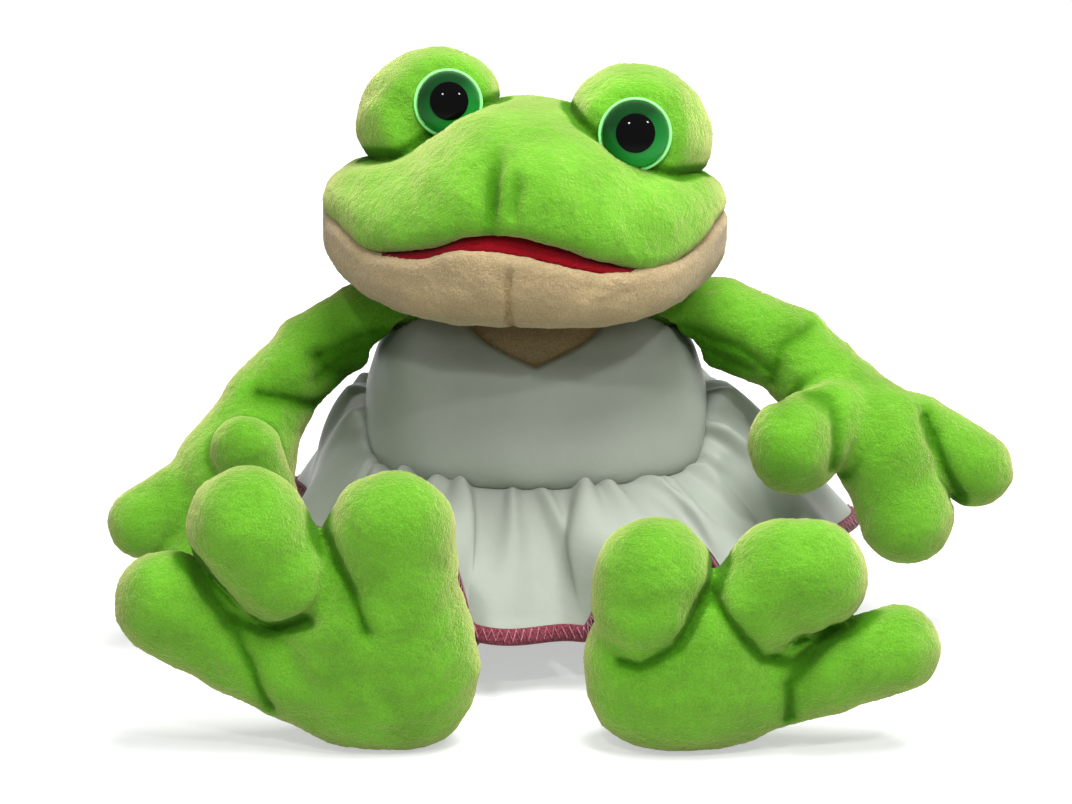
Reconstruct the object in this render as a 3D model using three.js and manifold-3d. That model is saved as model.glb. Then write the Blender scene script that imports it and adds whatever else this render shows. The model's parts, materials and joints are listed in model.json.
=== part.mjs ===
// Stuffed plush frog sitting with its legs out in front, in a sleeveless dress with a gathered skirt.
// Millimetres, +Z up. The frog faces -Y, its own left hand is at +X, and it sits on Z = 0.
import * as THREE from 'three';
import Module from 'manifold-3d';
import { mergeVertices } from 'three/addons/utils/BufferGeometryUtils.js';

const wasm = await Module();
wasm.setup();

// Clearances, fabrics and cutting tools
const gap = 0.3;
const skin = 2;
const cloth = 1.2;
const seatFlattening = 0.5;
const cutterSize = 600;
const socketEdge = 4;
const limbOverlap = 6;
const limbClearance = 5;

// Torso: a bean-bag shape, flat where it sits
const torsoHeight = 126;
const torsoHalfWidth = 66;
const torsoHalfDepth = 49;
const pelletBagHalfWidth = 42;
const pelletBagHalfDepth = 30;
const pelletBagHeight = 30;
const chestPanelHalfWidth = 29;
const chestPanelBottom = 52;

// Neck, set into the top of the torso
const neckRadius = 24;
const neckDrop = 3;
const neckForward = 5;
const neckShift = -3;
const headClearance = 3.5;

// Head: a wide dome over a shallow jaw, with the mouth seam waving between them
const headHalfWidth = 73;
const headFrontDepth = 60;
const headBackDepth = 52;
const headForward = 15;
const headYaw = -9;
const headRoll = 2;
const crownTop = 77;
const crownLeftDrop = 9;
const crownRightDrop = 13;
const crownFlatHalfWidth = 10;
const crownFallWidth = 38;
const jawBottom = 4;
const chinDrop = 11;
const neckHollow = 6;
const seamAtFront = 36;
const seamAtCorners = 25;
const seamAtSides = 31;
const mouthOpening = 3.6;
const mouthHalfAngle = 50;
const liningSheet = 1.5;

// Eye mounds and safety eyes
const moundRadius = 27;
const moundSpacing = 76;
const moundForward = 15;
const leftMoundHeight = 64;
const rightMoundHeight = 65;
const eyeRadius = 12;
const eyeDome = 6.5;
const pupilRadius = 6.7;
const pupilDepth = 2;
const eyeRimWidth = 1.3;
const eyeRimThickness = 1.2;
const shankRadius = 2.5;
const shankLength = 15;
const washerRadius = 8;
const washerThickness = 1.6;
const washerInset = 3;

// Arms, from the shoulder to the finger tips
const shoulderDrop = 8;
const shoulderInset = 3;
const shoulderBallRadius = 12.5;
const upperArmLength = 48;
const upperArmHalfWidth = 18;
const upperArmHalfDepth = 16.5;
const elbowBallRadius = 13;
const forearmLength = 52;
const palmHalfWidth = 19;
const palmHalfDepth = 15;
const palmOverhang = 11;
const leftThumbLength = 51;
const leftThumbHalfWidth = 17.5;
const rightThumbLength = 35;
const rightThumbHalfWidth = 13.5;
const middleFingerLength = 50;
const middleFingerHalfWidth = 18.5;
const outerFingerLength = 51;
const outerFingerHalfWidth = 14.5;
const fingerHalfDepth = 14;

// Legs, lying on the floor under the skirt, and the feet that stand up at their ends
const hipSpacing = 60;
const hipHeight = 21;
const hipBallRadius = 15.5;
const legLength = 70;
const legHalfWidth = 19;
const ankleBallRadius = 15;
const ankleToSole = 19;
const soleHalfLength = 35;
const soleHalfHeight = 28.5;
const soleHalfDepth = 17;
const innerToeLength = 53;
const innerToeHalfWidth = 21;
const middleToeLength = 60;
const middleToeHalfWidth = 20;
const outerToeLength = 64;
const outerToeHalfWidth = 17.5;
const toeHalfDepth = 15.5;

// Dress: the bodice, its back fastening, the gathered skirt and its overlocked hem
const waistFrontHeight = 63;
const waistSideHeight = 84;
const waistBackHeight = 86;
const necklineFrontHeight = 106;
const necklineBackDrop = 8;
const necklineSideDrop = 2.5;
const armholeMargin = 2.5;
const fasteningWidth = 14;
const hemHalfWidth = 106;
const hemFrontDepth = 88;
const hemBackDepth = 92;
const hemShift = 9;
const hemFrontHeight = 23;
const hemLeftHeight = 38;
const hemRightHeight = 46;
const hemBackHeight = 26;
const skirtClearance = 7.5;
const foldDepth = 5;
const foldCount = 12;
const overlockWidth = 5.6;
const overlockThickness = 2.2;

// Shapes of the outlines, as shares of the sizes above
const torsoProfileShares = [
  [0.012, 0.8], [0.07, 0.93], [0.2, 1], [0.42, 0.985],
  [0.66, 0.915], [0.83, 0.855], [0.915, 0.74], [0.97, 0.52],
];
const torsoFloorShare = 0.55;
const crownProfileShares = [
  [0.3, 0.97], [0.56, 0.855], [0.76, 0.66], [0.9, 0.42], [0.975, 0.22], [1, 0.09], [0.97, 0],
];
const jawProfileShares = [[0.36, 0.995], [0.62, 0.95], [0.8, 0.83], [0.92, 0.6], [0.98, 0.32], [0.985, 0]];
const liningReachShares = [0.35, 0.93];
const liningPastShare = 1.1;
const limbBluntness = 3;
const palmBluntness = 4;
const digitBluntness = 3;
const soleBluntness = 2.5;
const limbStartShare = 0.78;
const palmStartShare = 0.6;
const fingerStartShare = 0.72;
const toeStartShare = 0.78;
const moundDepthShare = 0.94;
const necklineSlopeShare = 0.72;
const waistFlatShare = 0.55;
const cutCoreShare = 0.05;
const skirtFlareShare = 0.85;
const skirtDropShare = 1.2;
const foldGrowthShare = 0.7;

// Directions of the pose, as shares: sideways out from the body, forwards, up
const leftArmShares = { upper: [0.95, 0.25, -0.12], fore: [0.69, 0.36, -0.63] };
const rightArmShares = { upper: [0.9, 0.26, -0.35], fore: [0.57, 0.48, -0.67] };
const leftFingerShares = {
  thumb: [-0.87, 0.5, 0.02],
  middle: [0.2, 0.3, -0.92],
  outer: [0.94, -0.04, -0.33],
};
const rightFingerShares = {
  thumb: [-0.48, 0.62, 0.62],
  middle: [0.22, 0.2, -0.95],
  outer: [0.88, 0.16, -0.44],
};
const leftLegShares = [0.29, 0.95, 0];
const rightLegShares = [0.34, 0.94, 0];
const leftFootRoll = 4;
const rightFootRoll = 12;
const leftToeShares = {
  inner: { root: [-0.16, 0], way: [-0.14, -0.03, 1] },
  middle: { root: [0.28, 0.05], way: [0.7, -0.1, 0.72] },
  outer: { root: [0.6, -0.34], way: [0.98, -0.08, 0.17] },
};
const rightToeShares = {
  inner: { root: [-0.14, 0.46], way: [-0.06, -0.03, 1] },
  middle: { root: [0.5, 0.26], way: [0.66, -0.08, 0.76] },
  outer: { root: [0.72, -0.4], way: [0.87, -0.08, 0.46] },
};
const leftEyeShares = [-0.02, 0.976, 0.217];
const rightEyeShares = [0.43, 0.8, 0.43];

// How finely each kind of piece is divided
const torsoSides = 17;
const headSides = 23;
const limbSides = 9;
const limbSteps = 6;
const legSides = 11;
const ballSides = 12;
const ballRows = 8;
const eyeSides = 14;
const skirtSides = foldCount * 4;
const skirtSteps = 5;

// Colours of the fabrics and the plastic
function matte(color, roughness = 0.95) {
  return new THREE.MeshStandardMaterial({ color, roughness, metalness: 0 });
}
const green = () => matte('#74c62c');
const cream = () => matte('#bf9f83');
const white = () => matte('#e4e6e8', 0.6);
const maroon = () => matte('#823444', 0.8);
const red = () => matte('#b1161f', 0.9);
const filling = () => matte('#f1f1ec');
const pellets = () => matte('#d8d2c2', 0.8);
const iris = () => matte('#12702c', 0.12);
const black = () => matte('#08090a', 0.1);
const rim = () => matte('#86e884', 0.3);
const nylon = () => matte('#2a2b2c', 0.5);

// Point at a distance sideways, in front of the middle and above the floor
function at(x, front, height) {
  return new THREE.Vector3(x, -front, height);
}

// Direction from shares, mirrored for the right side
function way(shares, side = 1) {
  return at(shares[0] * side, shares[1], shares[2]).normalize();
}

// Point halfway between two others
function between(a, b) {
  return a.clone().add(b).multiplyScalar(1 / 2);
}

// Closed geometry from points and faces, turned so that the faces point out
function closedGeometry(points, faces) {
  let volume = 0;
  for (const [a, b, c] of faces) {
    volume += points[a].dot(new THREE.Vector3().crossVectors(points[b], points[c]));
  }
  const index = faces.flatMap(([a, b, c]) => (volume < 0 ? [a, c, b] : [a, b, c]));
  const geometry = new THREE.BufferGeometry();
  geometry.setAttribute('position', new THREE.Float32BufferAttribute(points.flatMap((p) => p.toArray()), 3));
  geometry.setIndex(index);
  return geometry;
}

// Closed body through a row of rings, drawn to a point at each end
function ringsGeometry(firstPole, rings, lastPole) {
  const sides = rings[0].length;
  const points = [firstPole, ...rings.flat(), lastPole];
  const last = points.length - 1;
  const faces = [];
  for (let j = 0; j < sides; j += 1) {
    const k = (j + 1) % sides;
    faces.push([0, 1 + j, 1 + k]);
    for (let i = 0; i < rings.length - 1; i += 1) {
      const here = 1 + i * sides;
      const next = here + sides;
      faces.push([here + j, next + j, next + k], [here + j, next + k, here + k]);
    }
    const end = 1 + (rings.length - 1) * sides;
    faces.push([end + j, last, end + k]);
  }
  return closedGeometry(points, faces);
}

// Closed band through sections that follow one another all the way round
function bandGeometry(sections) {
  const count = sections[0].length;
  const points = sections.flat();
  const faces = [];
  for (let i = 0; i < sections.length; i += 1) {
    const here = i * count;
    const next = ((i + 1) % sections.length) * count;
    for (let j = 0; j < count; j += 1) {
      const k = (j + 1) % count;
      faces.push([here + j, next + j, next + k], [here + j, next + k, here + k]);
    }
  }
  return closedGeometry(points, faces);
}

// Solid for joining and cutting, from a closed geometry
function solidOf(geometry) {
  const bare = geometry.clone();
  bare.deleteAttribute('normal');
  bare.deleteAttribute('uv');
  const merged = mergeVertices(bare);
  const vertProperties = new Float32Array(merged.attributes.position.array);
  const triVerts = new Uint32Array(merged.index.array);
  return new wasm.Manifold(new wasm.Mesh({ numProp: 3, vertProperties, triVerts }));
}

// Named mesh from a solid
function meshOf(name, solid, material) {
  const { vertProperties, triVerts } = solid.getMesh();
  const geometry = new THREE.BufferGeometry();
  geometry.setAttribute('position', new THREE.Float32BufferAttribute(vertProperties, 3));
  geometry.setIndex(new THREE.Uint32BufferAttribute(triVerts, 1));
  const flat = geometry.toNonIndexed();
  flat.computeVertexNormals();
  const mesh = new THREE.Mesh(flat, material);
  mesh.name = name;
  return mesh;
}

// Ball round a joint
function ball(centre, radius) {
  const geometry = new THREE.SphereGeometry(radius, ballSides, ballRows);
  geometry.translate(centre.x, centre.y, centre.z);
  return solidOf(geometry);
}

// Hollow that a faceted ball turns in without touching
function socket(centre, radius) {
  const facets = Math.cos(Math.PI / ballSides) * Math.cos(Math.PI / (2 * ballRows));
  return ball(centre, (radius + gap) / facets);
}

// Everything on the far side of a plane through a point
function beyond(point, direction) {
  const geometry = new THREE.BoxGeometry(cutterSize, cutterSize, cutterSize);
  const turn = new THREE.Quaternion().setFromUnitVectors(new THREE.Vector3(0, 0, 1), direction);
  const centre = point.clone().addScaledVector(direction, cutterSize / 2);
  geometry.applyQuaternion(turn);
  geometry.translate(centre.x, centre.y, centre.z);
  return solidOf(geometry);
}

const down = new THREE.Vector3(0, 0, -1);

// Stuffed form along a bent line, swelling and tapering, with rounded ends
function lobe(form, grow = 0) {
  const { start, bend, end, halfWidth, halfDepth, facing, startShare, bluntness, sides, steps } = form;
  const first = new THREE.Vector3().subVectors(bend, start).normalize();
  const last = new THREE.Vector3().subVectors(end, bend).normalize();
  const from = start.clone().addScaledVector(first, -grow);
  const to = end.clone().addScaledVector(last, grow);
  const path = new THREE.QuadraticBezierCurve3(from, bend, to);
  const rings = [];
  for (let i = 1; i < steps; i += 1) {
    const along = (1 - Math.cos((Math.PI * i) / steps)) / 2;
    const rounding = Math.sqrt(1 - Math.abs(2 * along - 1) ** bluntness);
    const swell = startShare + (1 - startShare) * Math.min(1, 2 * along);
    const centre = path.getPoint(along);
    const tangent = path.getTangent(along);
    const across = new THREE.Vector3().crossVectors(tangent, facing).normalize();
    const through = new THREE.Vector3().crossVectors(across, tangent).normalize();
    const wide = (halfWidth * swell + grow) * rounding;
    const deep = (halfDepth * swell + grow) * rounding;
    const ring = [];
    for (let j = 0; j < sides; j += 1) {
      const turn = (2 * Math.PI * j) / sides;
      const point = centre.clone().addScaledVector(across, wide * Math.cos(turn));
      ring.push(point.addScaledVector(through, deep * Math.sin(turn)));
    }
    rings.push(ring);
  }
  return solidOf(ringsGeometry(from, rings, to));
}

// Share of the torso's width at a height, from its profile
function torsoShare(height) {
  const share = height / torsoHeight;
  const rows = [[0, torsoProfileShares[0][1]], ...torsoProfileShares, [1, 0]];
  for (let i = 1; i < rows.length; i += 1) {
    if (share <= rows[i][0]) {
      const part = (share - rows[i - 1][0]) / (rows[i][0] - rows[i - 1][0]);
      return rows[i - 1][1] + part * (rows[i][1] - rows[i - 1][1]);
    }
  }
  return 0;
}

// Point on the torso at an angle from the front, or off it by a distance
function torsoPoint(angle, height, off = 0) {
  const share = torsoShare(height);
  const wide = torsoHalfWidth * share + off;
  const deep = torsoHalfDepth * share + off;
  return at(wide * Math.sin(angle), deep * Math.cos(angle), height);
}

// Torso as a solid, grown or shrunk all round, and cut flat at its floor
function torsoSolid(grow, floor) {
  const rings = [];
  const rows = [[-seatFlattening / torsoHeight, torsoFloorShare], ...torsoProfileShares];
  for (const [heightShare, widthShare] of rows) {
    const ring = [];
    for (let j = 0; j < torsoSides; j += 1) {
      const angle = (2 * Math.PI * j) / torsoSides;
      const wide = torsoHalfWidth * widthShare + grow;
      const deep = torsoHalfDepth * widthShare + grow;
      const high = torsoHeight * heightShare + grow * Math.max(0, heightShare);
      ring.push(at(wide * Math.sin(angle), deep * Math.cos(angle), high));
    }
    rings.push(ring);
  }
  const bottom = at(0, 0, -seatFlattening);
  const top = at(0, 0, torsoHeight + grow);
  return solidOf(ringsGeometry(bottom, rings, top)).subtract(beyond(at(0, 0, floor), down));
}

// Joints that the shapes are cut round
const neckPivot = at(neckShift, neckForward, torsoHeight - neckDrop);
const shoulderHeight = torsoHeight - shoulderDrop;
const shoulderX = torsoHalfWidth * torsoShare(shoulderHeight) - shoulderInset;
const shoulder = (side) => at(side * shoulderX, 0, shoulderHeight);
const hipX = hipSpacing / 2;
const hipShare = torsoShare(hipHeight);
const hipFront = torsoHalfDepth * hipShare * Math.sqrt(1 - (hipX / (torsoHalfWidth * hipShare)) ** 2);
const hip = (side) => at(side * hipX, hipFront, hipHeight);

// Room that the dressed torso takes up in the frame of a limb that hangs at a joint
function torsoRoom(joint, clearance) {
  return torsoSolid(2 * gap + cloth + clearance, 0).translate(-joint.x, -joint.y, -joint.z);
}

// Hollows in the torso for the neck, the arms and the legs
function torsoSockets() {
  let sockets = socket(neckPivot, neckRadius);
  for (const side of [1, -1]) {
    sockets = sockets.add(socket(shoulder(side), shoulderBallRadius));
    sockets = sockets.add(socket(hip(side), hipBallRadius));
  }
  return sockets;
}

// Front region that the chest panel takes up, drawn in or out by a distance
function chestRegion(grow) {
  const height = torsoHeight - chestPanelBottom + torsoHeight + 2 * grow;
  const geometry = new THREE.BoxGeometry(2 * (chestPanelHalfWidth + grow), torsoHalfDepth * 2, height);
  const middle = at(0, torsoHalfDepth, chestPanelBottom - grow + height / 2);
  geometry.translate(middle.x, middle.y, middle.z);
  return solidOf(geometry);
}

// Bag of pellets lying flat in the seat
function pelletBag(grow) {
  const geometry = new THREE.SphereGeometry(1, torsoSides, ballRows);
  geometry.rotateX(Math.PI / 2);
  geometry.scale(pelletBagHalfWidth + grow, pelletBagHalfDepth + grow, pelletBagHeight / 2 + grow);
  geometry.translate(0, 0, skin + pelletBagHeight / 2);
  return solidOf(geometry);
}

function torsoPieces() {
  const sockets = torsoSockets();
  const shell = torsoSolid(0, 0).subtract(torsoSolid(-skin, skin)).subtract(sockets);
  const bagFloor = beyond(at(0, 0, skin + gap), down);
  const stuffing = torsoSolid(-skin - gap, skin + gap).subtract(sockets).subtract(pelletBag(gap));
  return [
    meshOf('torso_skin', shell.subtract(chestRegion(gap)), green()),
    meshOf('chest_panel', shell.intersect(chestRegion(0)), cream()),
    meshOf('torso_stuffing', stuffing, filling()),
    meshOf('pellet_bag', pelletBag(0).subtract(bagFloor), pellets()),
  ];
}

// Height of the waist seam at an angle from the front: low under the whole belly, and up at the sides
function waistHeight(angle) {
  const facing = Math.cos(angle);
  if (facing < 0) return waistSideHeight + (waistBackHeight - waistSideHeight) * facing ** 2;
  const reach = Math.min(1, facing / waistFlatShare);
  return waistSideHeight + (waistFrontHeight - waistSideHeight) * reach ** 2 * (3 - 2 * reach);
}

// Height of the neckline: a V in front, over the shoulders, and a shallow scoop behind
function necklineHeight(angle) {
  const shoulderTop = torsoHeight - necklineSideDrop;
  const low = Math.cos(angle) > 0 ? necklineFrontHeight : torsoHeight - necklineBackDrop;
  return low + (shoulderTop - low) * Math.min(1, Math.abs(Math.sin(angle)) / necklineSlopeShare);
}

// Everything over or under a height that changes with the angle, wider than the torso
function cutAt(heightAt, endHeight) {
  const sides = torsoSides * 2;
  const ring = (share, height) => Array.from({ length: sides }, (_, j) => {
    const angle = (2 * Math.PI * j) / sides;
    const wide = 2 * torsoHalfWidth * share * Math.sin(angle);
    return at(wide, 2 * torsoHalfDepth * share * Math.cos(angle), height(angle));
  });
  const rings = [ring(1, () => endHeight), ring(1, heightAt), ring(cutCoreShare, heightAt)];
  return solidOf(ringsGeometry(at(0, 0, endHeight), rings, at(0, 0, heightAt(Math.PI / 2))));
}

function dressPieces() {
  const inner = 2 * gap;
  let band = torsoSolid(inner + cloth, 0).subtract(torsoSolid(inner, -cloth))
    .subtract(cutAt((angle) => waistHeight(angle) + gap, -torsoHeight))
    .subtract(cutAt(necklineHeight, 2 * torsoHeight))
    .subtract(socket(neckPivot, neckRadius));
  for (const side of [1, -1]) {
    band = band.subtract(ball(shoulder(side), shoulderBallRadius + armholeMargin));
  }
  const opening = (width) => {
    const geometry = new THREE.BoxGeometry(width, torsoHalfDepth * 2, torsoHeight * 2);
    geometry.translate(0, torsoHalfDepth, torsoHeight);
    return solidOf(geometry);
  };
  return [
    meshOf('dress_bodice', band.subtract(opening(fasteningWidth + 2 * gap)), white()),
    meshOf('dress_fastening', band.intersect(opening(fasteningWidth)), white()),
    meshOf('dress_skirt', skirtBand(0, 1, cloth).subtract(cutAt(waistHeight, 2 * torsoHeight)), white()),
    meshOf('skirt_hem', skirtBand(1, 2, overlockThickness), maroon()),
  ];
}

// How much of its height over a leg the hem has at an angle from the front
function legCover(angle) {
  let cover = 0;
  for (const [side, legShares] of [[1, leftLegShares], [-1, rightLegShares]]) {
    const legX = side * (hipX + (hemFrontDepth - hipFront) * (legShares[0] / legShares[1]));
    const off = (hemShift + hemHalfWidth * Math.sin(angle) - legX) / (legHalfWidth + gap);
    if (Math.cos(angle) > 0) cover += Math.exp(-(off ** 4));
  }
  return Math.min(1, cover);
}

// Point on the skirt at an angle and a share of the way down, past 1 along the hem
function skirtPoint(angle, share) {
  const waist = torsoPoint(angle, waistHeight(angle), 2 * gap + cloth / 2);
  const front = Math.cos(angle) > 0;
  const depth = front ? hemFrontDepth : hemBackDepth;
  const low = front ? hemFrontHeight : hemBackHeight;
  const wave = -Math.cos(foldCount * angle);
  const out = share ** skirtFlareShare;
  const fold = foldDepth * wave * share ** foldGrowthShare;
  const wide = (hemHalfWidth + fold) * Math.sin(angle);
  const deep = (depth + fold) * Math.cos(angle);
  const side = Math.sin(angle) > 0 ? hemLeftHeight : hemRightHeight;
  const free = side + (low - side) * Math.cos(angle) ** 2;
  const overLeg = hipHeight + legHalfWidth + overlockWidth + skirtClearance;
  const floor = free + Math.max(0, overLeg - free) * legCover(angle);
  const x = waist.x + (wide + hemShift - waist.x) * out;
  const forward = -waist.y + (deep + waist.y) * out;
  return at(x, forward, waist.z + (floor - waist.z) * share ** skirtDropShare);
}

// Cloth of the skirt, or the overlocked edge that follows it
function skirtBand(from, to, thickness) {
  const sections = [];
  const edge = overlockWidth / (waistSideHeight - hemLeftHeight);
  const steps = to > 1 ? 1 : skirtSteps;
  const turn = (2 * Math.PI) / skirtSides;
  const nudge = 1 / skirtSides;
  for (let i = 0; i < skirtSides; i += 1) {
    const angle = turn * i;
    const outer = [];
    const inner = [];
    for (let j = 0; j <= steps; j += 1) {
      const part = from + ((to - from) * j) / steps;
      const slack = (3 * gap * edge) / overlockWidth;
      const share = part > 1 ? 1 + edge : part + (from > 0 ? slack : 0);
      const point = skirtPoint(angle, share);
      const round = new THREE.Vector3().subVectors(skirtPoint(angle + turn * nudge, share), point);
      const along = new THREE.Vector3().subVectors(skirtPoint(angle, share + nudge * nudge), point);
      const normal = new THREE.Vector3().crossVectors(along, round).normalize();
      outer.push(point.clone().addScaledVector(normal, thickness / 2));
      inner.push(point.clone().addScaledVector(normal, -thickness / 2));
    }
    sections.push([...outer, ...inner.reverse()]);
  }
  return solidOf(bandGeometry(sections));
}

// Height of the seam between crown and jaw at an angle from the front
function seamHeight(angle) {
  const corner = (mouthHalfAngle * Math.PI) / 180;
  const turn = Math.abs(Math.atan2(Math.sin(angle), Math.cos(angle)));
  if (turn < corner) {
    const part = (1 - Math.cos((Math.PI * turn) / corner)) / 2;
    return seamAtFront + (seamAtCorners - seamAtFront) * part;
  }
  const part = (1 - Math.cos(Math.PI * Math.min(1, (turn - corner) / (Math.PI / 2 - corner)))) / 2;
  return seamAtCorners + (seamAtSides - seamAtCorners) * part;
}

// Width of the open mouth at an angle from the front
function mouthGap(angle) {
  const corner = (mouthHalfAngle * Math.PI) / 180;
  const turn = Math.abs(Math.atan2(Math.sin(angle), Math.cos(angle)));
  return turn < corner ? (mouthOpening * (1 + Math.cos((Math.PI * turn) / corner))) / 2 : 0;
}

// Point of the head at a share of its outline, in the head's own frame
function headPoint(angle, reach, height, grow) {
  const depth = Math.cos(angle) > 0 ? headFrontDepth : headBackDepth;
  const wide = (headHalfWidth + grow) * reach * Math.sin(angle);
  const forward = headForward + (depth + grow) * reach * Math.cos(angle);
  return at(wide, forward, height);
}

// Height of the crown's top at a place across the head: it falls away beside the forehead
function crownHeight(x) {
  const part = Math.min(1, Math.max(0, (Math.abs(x) - crownFlatHalfWidth) / crownFallWidth));
  return crownTop - (x > 0 ? crownLeftDrop : crownRightDrop) * part ** 2 * (3 - 2 * part);
}

// Rings of the crown from its top to the seam, grown or shrunk all round
function crownRings(grow, lift = 0) {
  return crownProfileShares.map(([reach, share]) => Array.from({ length: headSides }, (_, j) => {
    const angle = (2 * Math.PI * j) / headSides;
    const seam = seamHeight(angle) + lift;
    const top = crownHeight(headHalfWidth * reach * Math.sin(angle)) + grow;
    return headPoint(angle, reach, seam + (top - seam) * share, grow);
  }));
}

// Rings of the jaw from the seam to its underside, grown or shrunk all round
function jawRings(grow, lift = 0) {
  return jawProfileShares.toReversed().map(([reach, share]) => Array.from({ length: headSides }, (_, j) => {
    const angle = (2 * Math.PI * j) / headSides;
    const seam = seamHeight(angle) - mouthGap(angle) - gap + lift;
    const chin = chinDrop * Math.max(0, Math.cos(angle)) ** 2 * reach;
    const bottom = jawBottom - chin + neckHollow * (1 - reach ** 2) - grow;
    return headPoint(angle, reach, seam + (bottom - seam) * share, grow);
  }));
}

const crownPole = (grow) => at(0, headForward, crownTop + grow);
const jawPole = (grow) => at(0, headForward, jawBottom + neckHollow - grow);

// Red lining between the lips, or the hollow that it needs in the stuffing
function liningSolid(grow, reachOut) {
  const steps = 10;
  const geometry = new THREE.BoxGeometry(1, 1, 1, steps, 2, 1);
  const position = geometry.attributes.position;
  const corner = (mouthHalfAngle * Math.PI) / 180;
  for (let i = 0; i < position.count; i += 1) {
    const angle = position.getX(i) * 2 * (corner + grow / headHalfWidth);
    const inner = liningReachShares[0] - grow / headHalfWidth;
    const reach = inner + (reachOut - inner) * (position.getY(i) + 1 / 2);
    const half = (mouthGap(angle) + liningSheet) / 2 + grow;
    const middle = seamHeight(angle) - mouthGap(angle) / 2;
    const point = headPoint(angle, reach, middle + 2 * half * position.getZ(i), 0);
    position.setXYZ(i, point.x, point.y, point.z);
  }
  const index = [];
  for (let i = 0; i < geometry.index.count; i += 3) {
    index.push([geometry.index.getX(i), geometry.index.getX(i + 1), geometry.index.getX(i + 2)]);
  }
  const points = Array.from({ length: position.count }, (_, i) => (
    new THREE.Vector3().fromBufferAttribute(position, i)));
  return solidOf(closedGeometry(points, index));
}

// Turned piece round the eye's axis, with the seat of the eye at height 0
function turned(profile) {
  const geometry = new THREE.LatheGeometry(profile.map(([r, h]) => new THREE.Vector2(r, h)), eyeSides);
  geometry.rotateX(Math.PI / 2);
  return geometry;
}

// Height of the eye's dome over its seat at a radius
function domeHeight(radius) {
  return eyeRimThickness + gap + eyeDome * Math.sqrt(1 - (radius / eyeRadius) ** 2);
}

// Plastic eye with its shank, hollowed for the pupil
function eyeGeometry() {
  const recess = domeHeight(0) - pupilDepth;
  const base = eyeRimThickness + gap;
  const profile = [[0, -shankLength], [shankRadius, -shankLength], [shankRadius, base]];
  const steps = 6;
  for (let i = 0; i <= steps; i += 1) {
    const radius = eyeRadius * Math.cos((Math.PI / 2) * (i / steps));
    if (radius > pupilRadius + gap) profile.push([radius, domeHeight(radius)]);
  }
  profile.push([pupilRadius + gap, domeHeight(pupilRadius + gap)], [pupilRadius + gap, recess], [0, recess]);
  return turned(profile);
}

function pupilGeometry() {
  const recess = domeHeight(0) - pupilDepth + gap;
  const profile = [[0, recess], [pupilRadius, recess]];
  const steps = 3;
  for (let i = 0; i <= steps; i += 1) {
    const radius = pupilRadius * (1 - i / steps);
    profile.push([radius, domeHeight(radius)]);
  }
  return turned(profile);
}

// Flat ring round the shank
function ringGeometry(outerRadius, low, high) {
  const hole = shankRadius + gap;
  return turned([[hole, low], [outerRadius, low], [outerRadius, high], [hole, high], [hole, low]]);
}

// Place of one eye mound, and of the eye that faces out of it, in the head's own frame
function eyePlace(side, height, directionShares) {
  const centre = at((side * moundSpacing) / 2, moundForward, height);
  const direction = way(directionShares);
  const seat = Math.sqrt(moundRadius ** 2 - (eyeRadius + eyeRimWidth) ** 2);
  const turn = new THREE.Quaternion().setFromUnitVectors(new THREE.Vector3(0, 0, 1), direction);
  const place = centre.clone().addScaledVector(direction, seat);
  const placed = (geometry) => {
    geometry.applyQuaternion(turn);
    geometry.translate(place.x, place.y, place.z);
    return solidOf(geometry);
  };
  return { centre, placed };
}

// Stuffed mound behind an eye, grown by a distance
function moundSolid({ centre }, grow) {
  const sphere = new THREE.SphereGeometry(moundRadius + grow, ballSides, ballRows);
  sphere.scale(1, moundDepthShare, 1);
  sphere.translate(centre.x, centre.y, centre.z);
  return solidOf(sphere);
}

// Hollow that a mound and the eye in front of it need in the crown
function eyeRoom(place) {
  const rimRadius = eyeRadius + eyeRimWidth + gap;
  const front = turned([[0, -gap], [rimRadius, -gap], [rimRadius, moundRadius], [0, moundRadius]]);
  return moundSolid(place, gap).add(place.placed(front));
}

// One eye mound with its eye, rim, pupil and locking washer
function eyePieces(name, place) {
  const { placed } = place;
  const rimRadius = eyeRadius + eyeRimWidth;
  const hole = shankRadius + gap;
  const washerTop = -washerInset;
  const washerLow = washerTop - washerThickness;
  const pocket = turned([
    [0, -shankLength - gap], [hole, -shankLength - gap],
    [hole, washerLow - gap], [washerRadius + gap, washerLow - gap],
    [washerRadius + gap, washerTop + gap], [hole, washerTop + gap],
    [hole, -gap], [rimRadius + gap, -gap],
    [rimRadius + gap, moundRadius], [0, moundRadius],
  ]);
  return [
    meshOf(`eye_mound_${name}`, moundSolid(place, 0).subtract(placed(pocket)), green()),
    meshOf(`eye_rim_${name}`, placed(ringGeometry(rimRadius, 0, eyeRimThickness)), rim()),
    meshOf(`eye_${name}`, placed(eyeGeometry()), iris()),
    meshOf(`pupil_${name}`, placed(pupilGeometry()), black()),
    meshOf(`eye_washer_${name}`, placed(ringGeometry(washerRadius, washerLow, washerTop)), nylon()),
  ];
}

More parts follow.
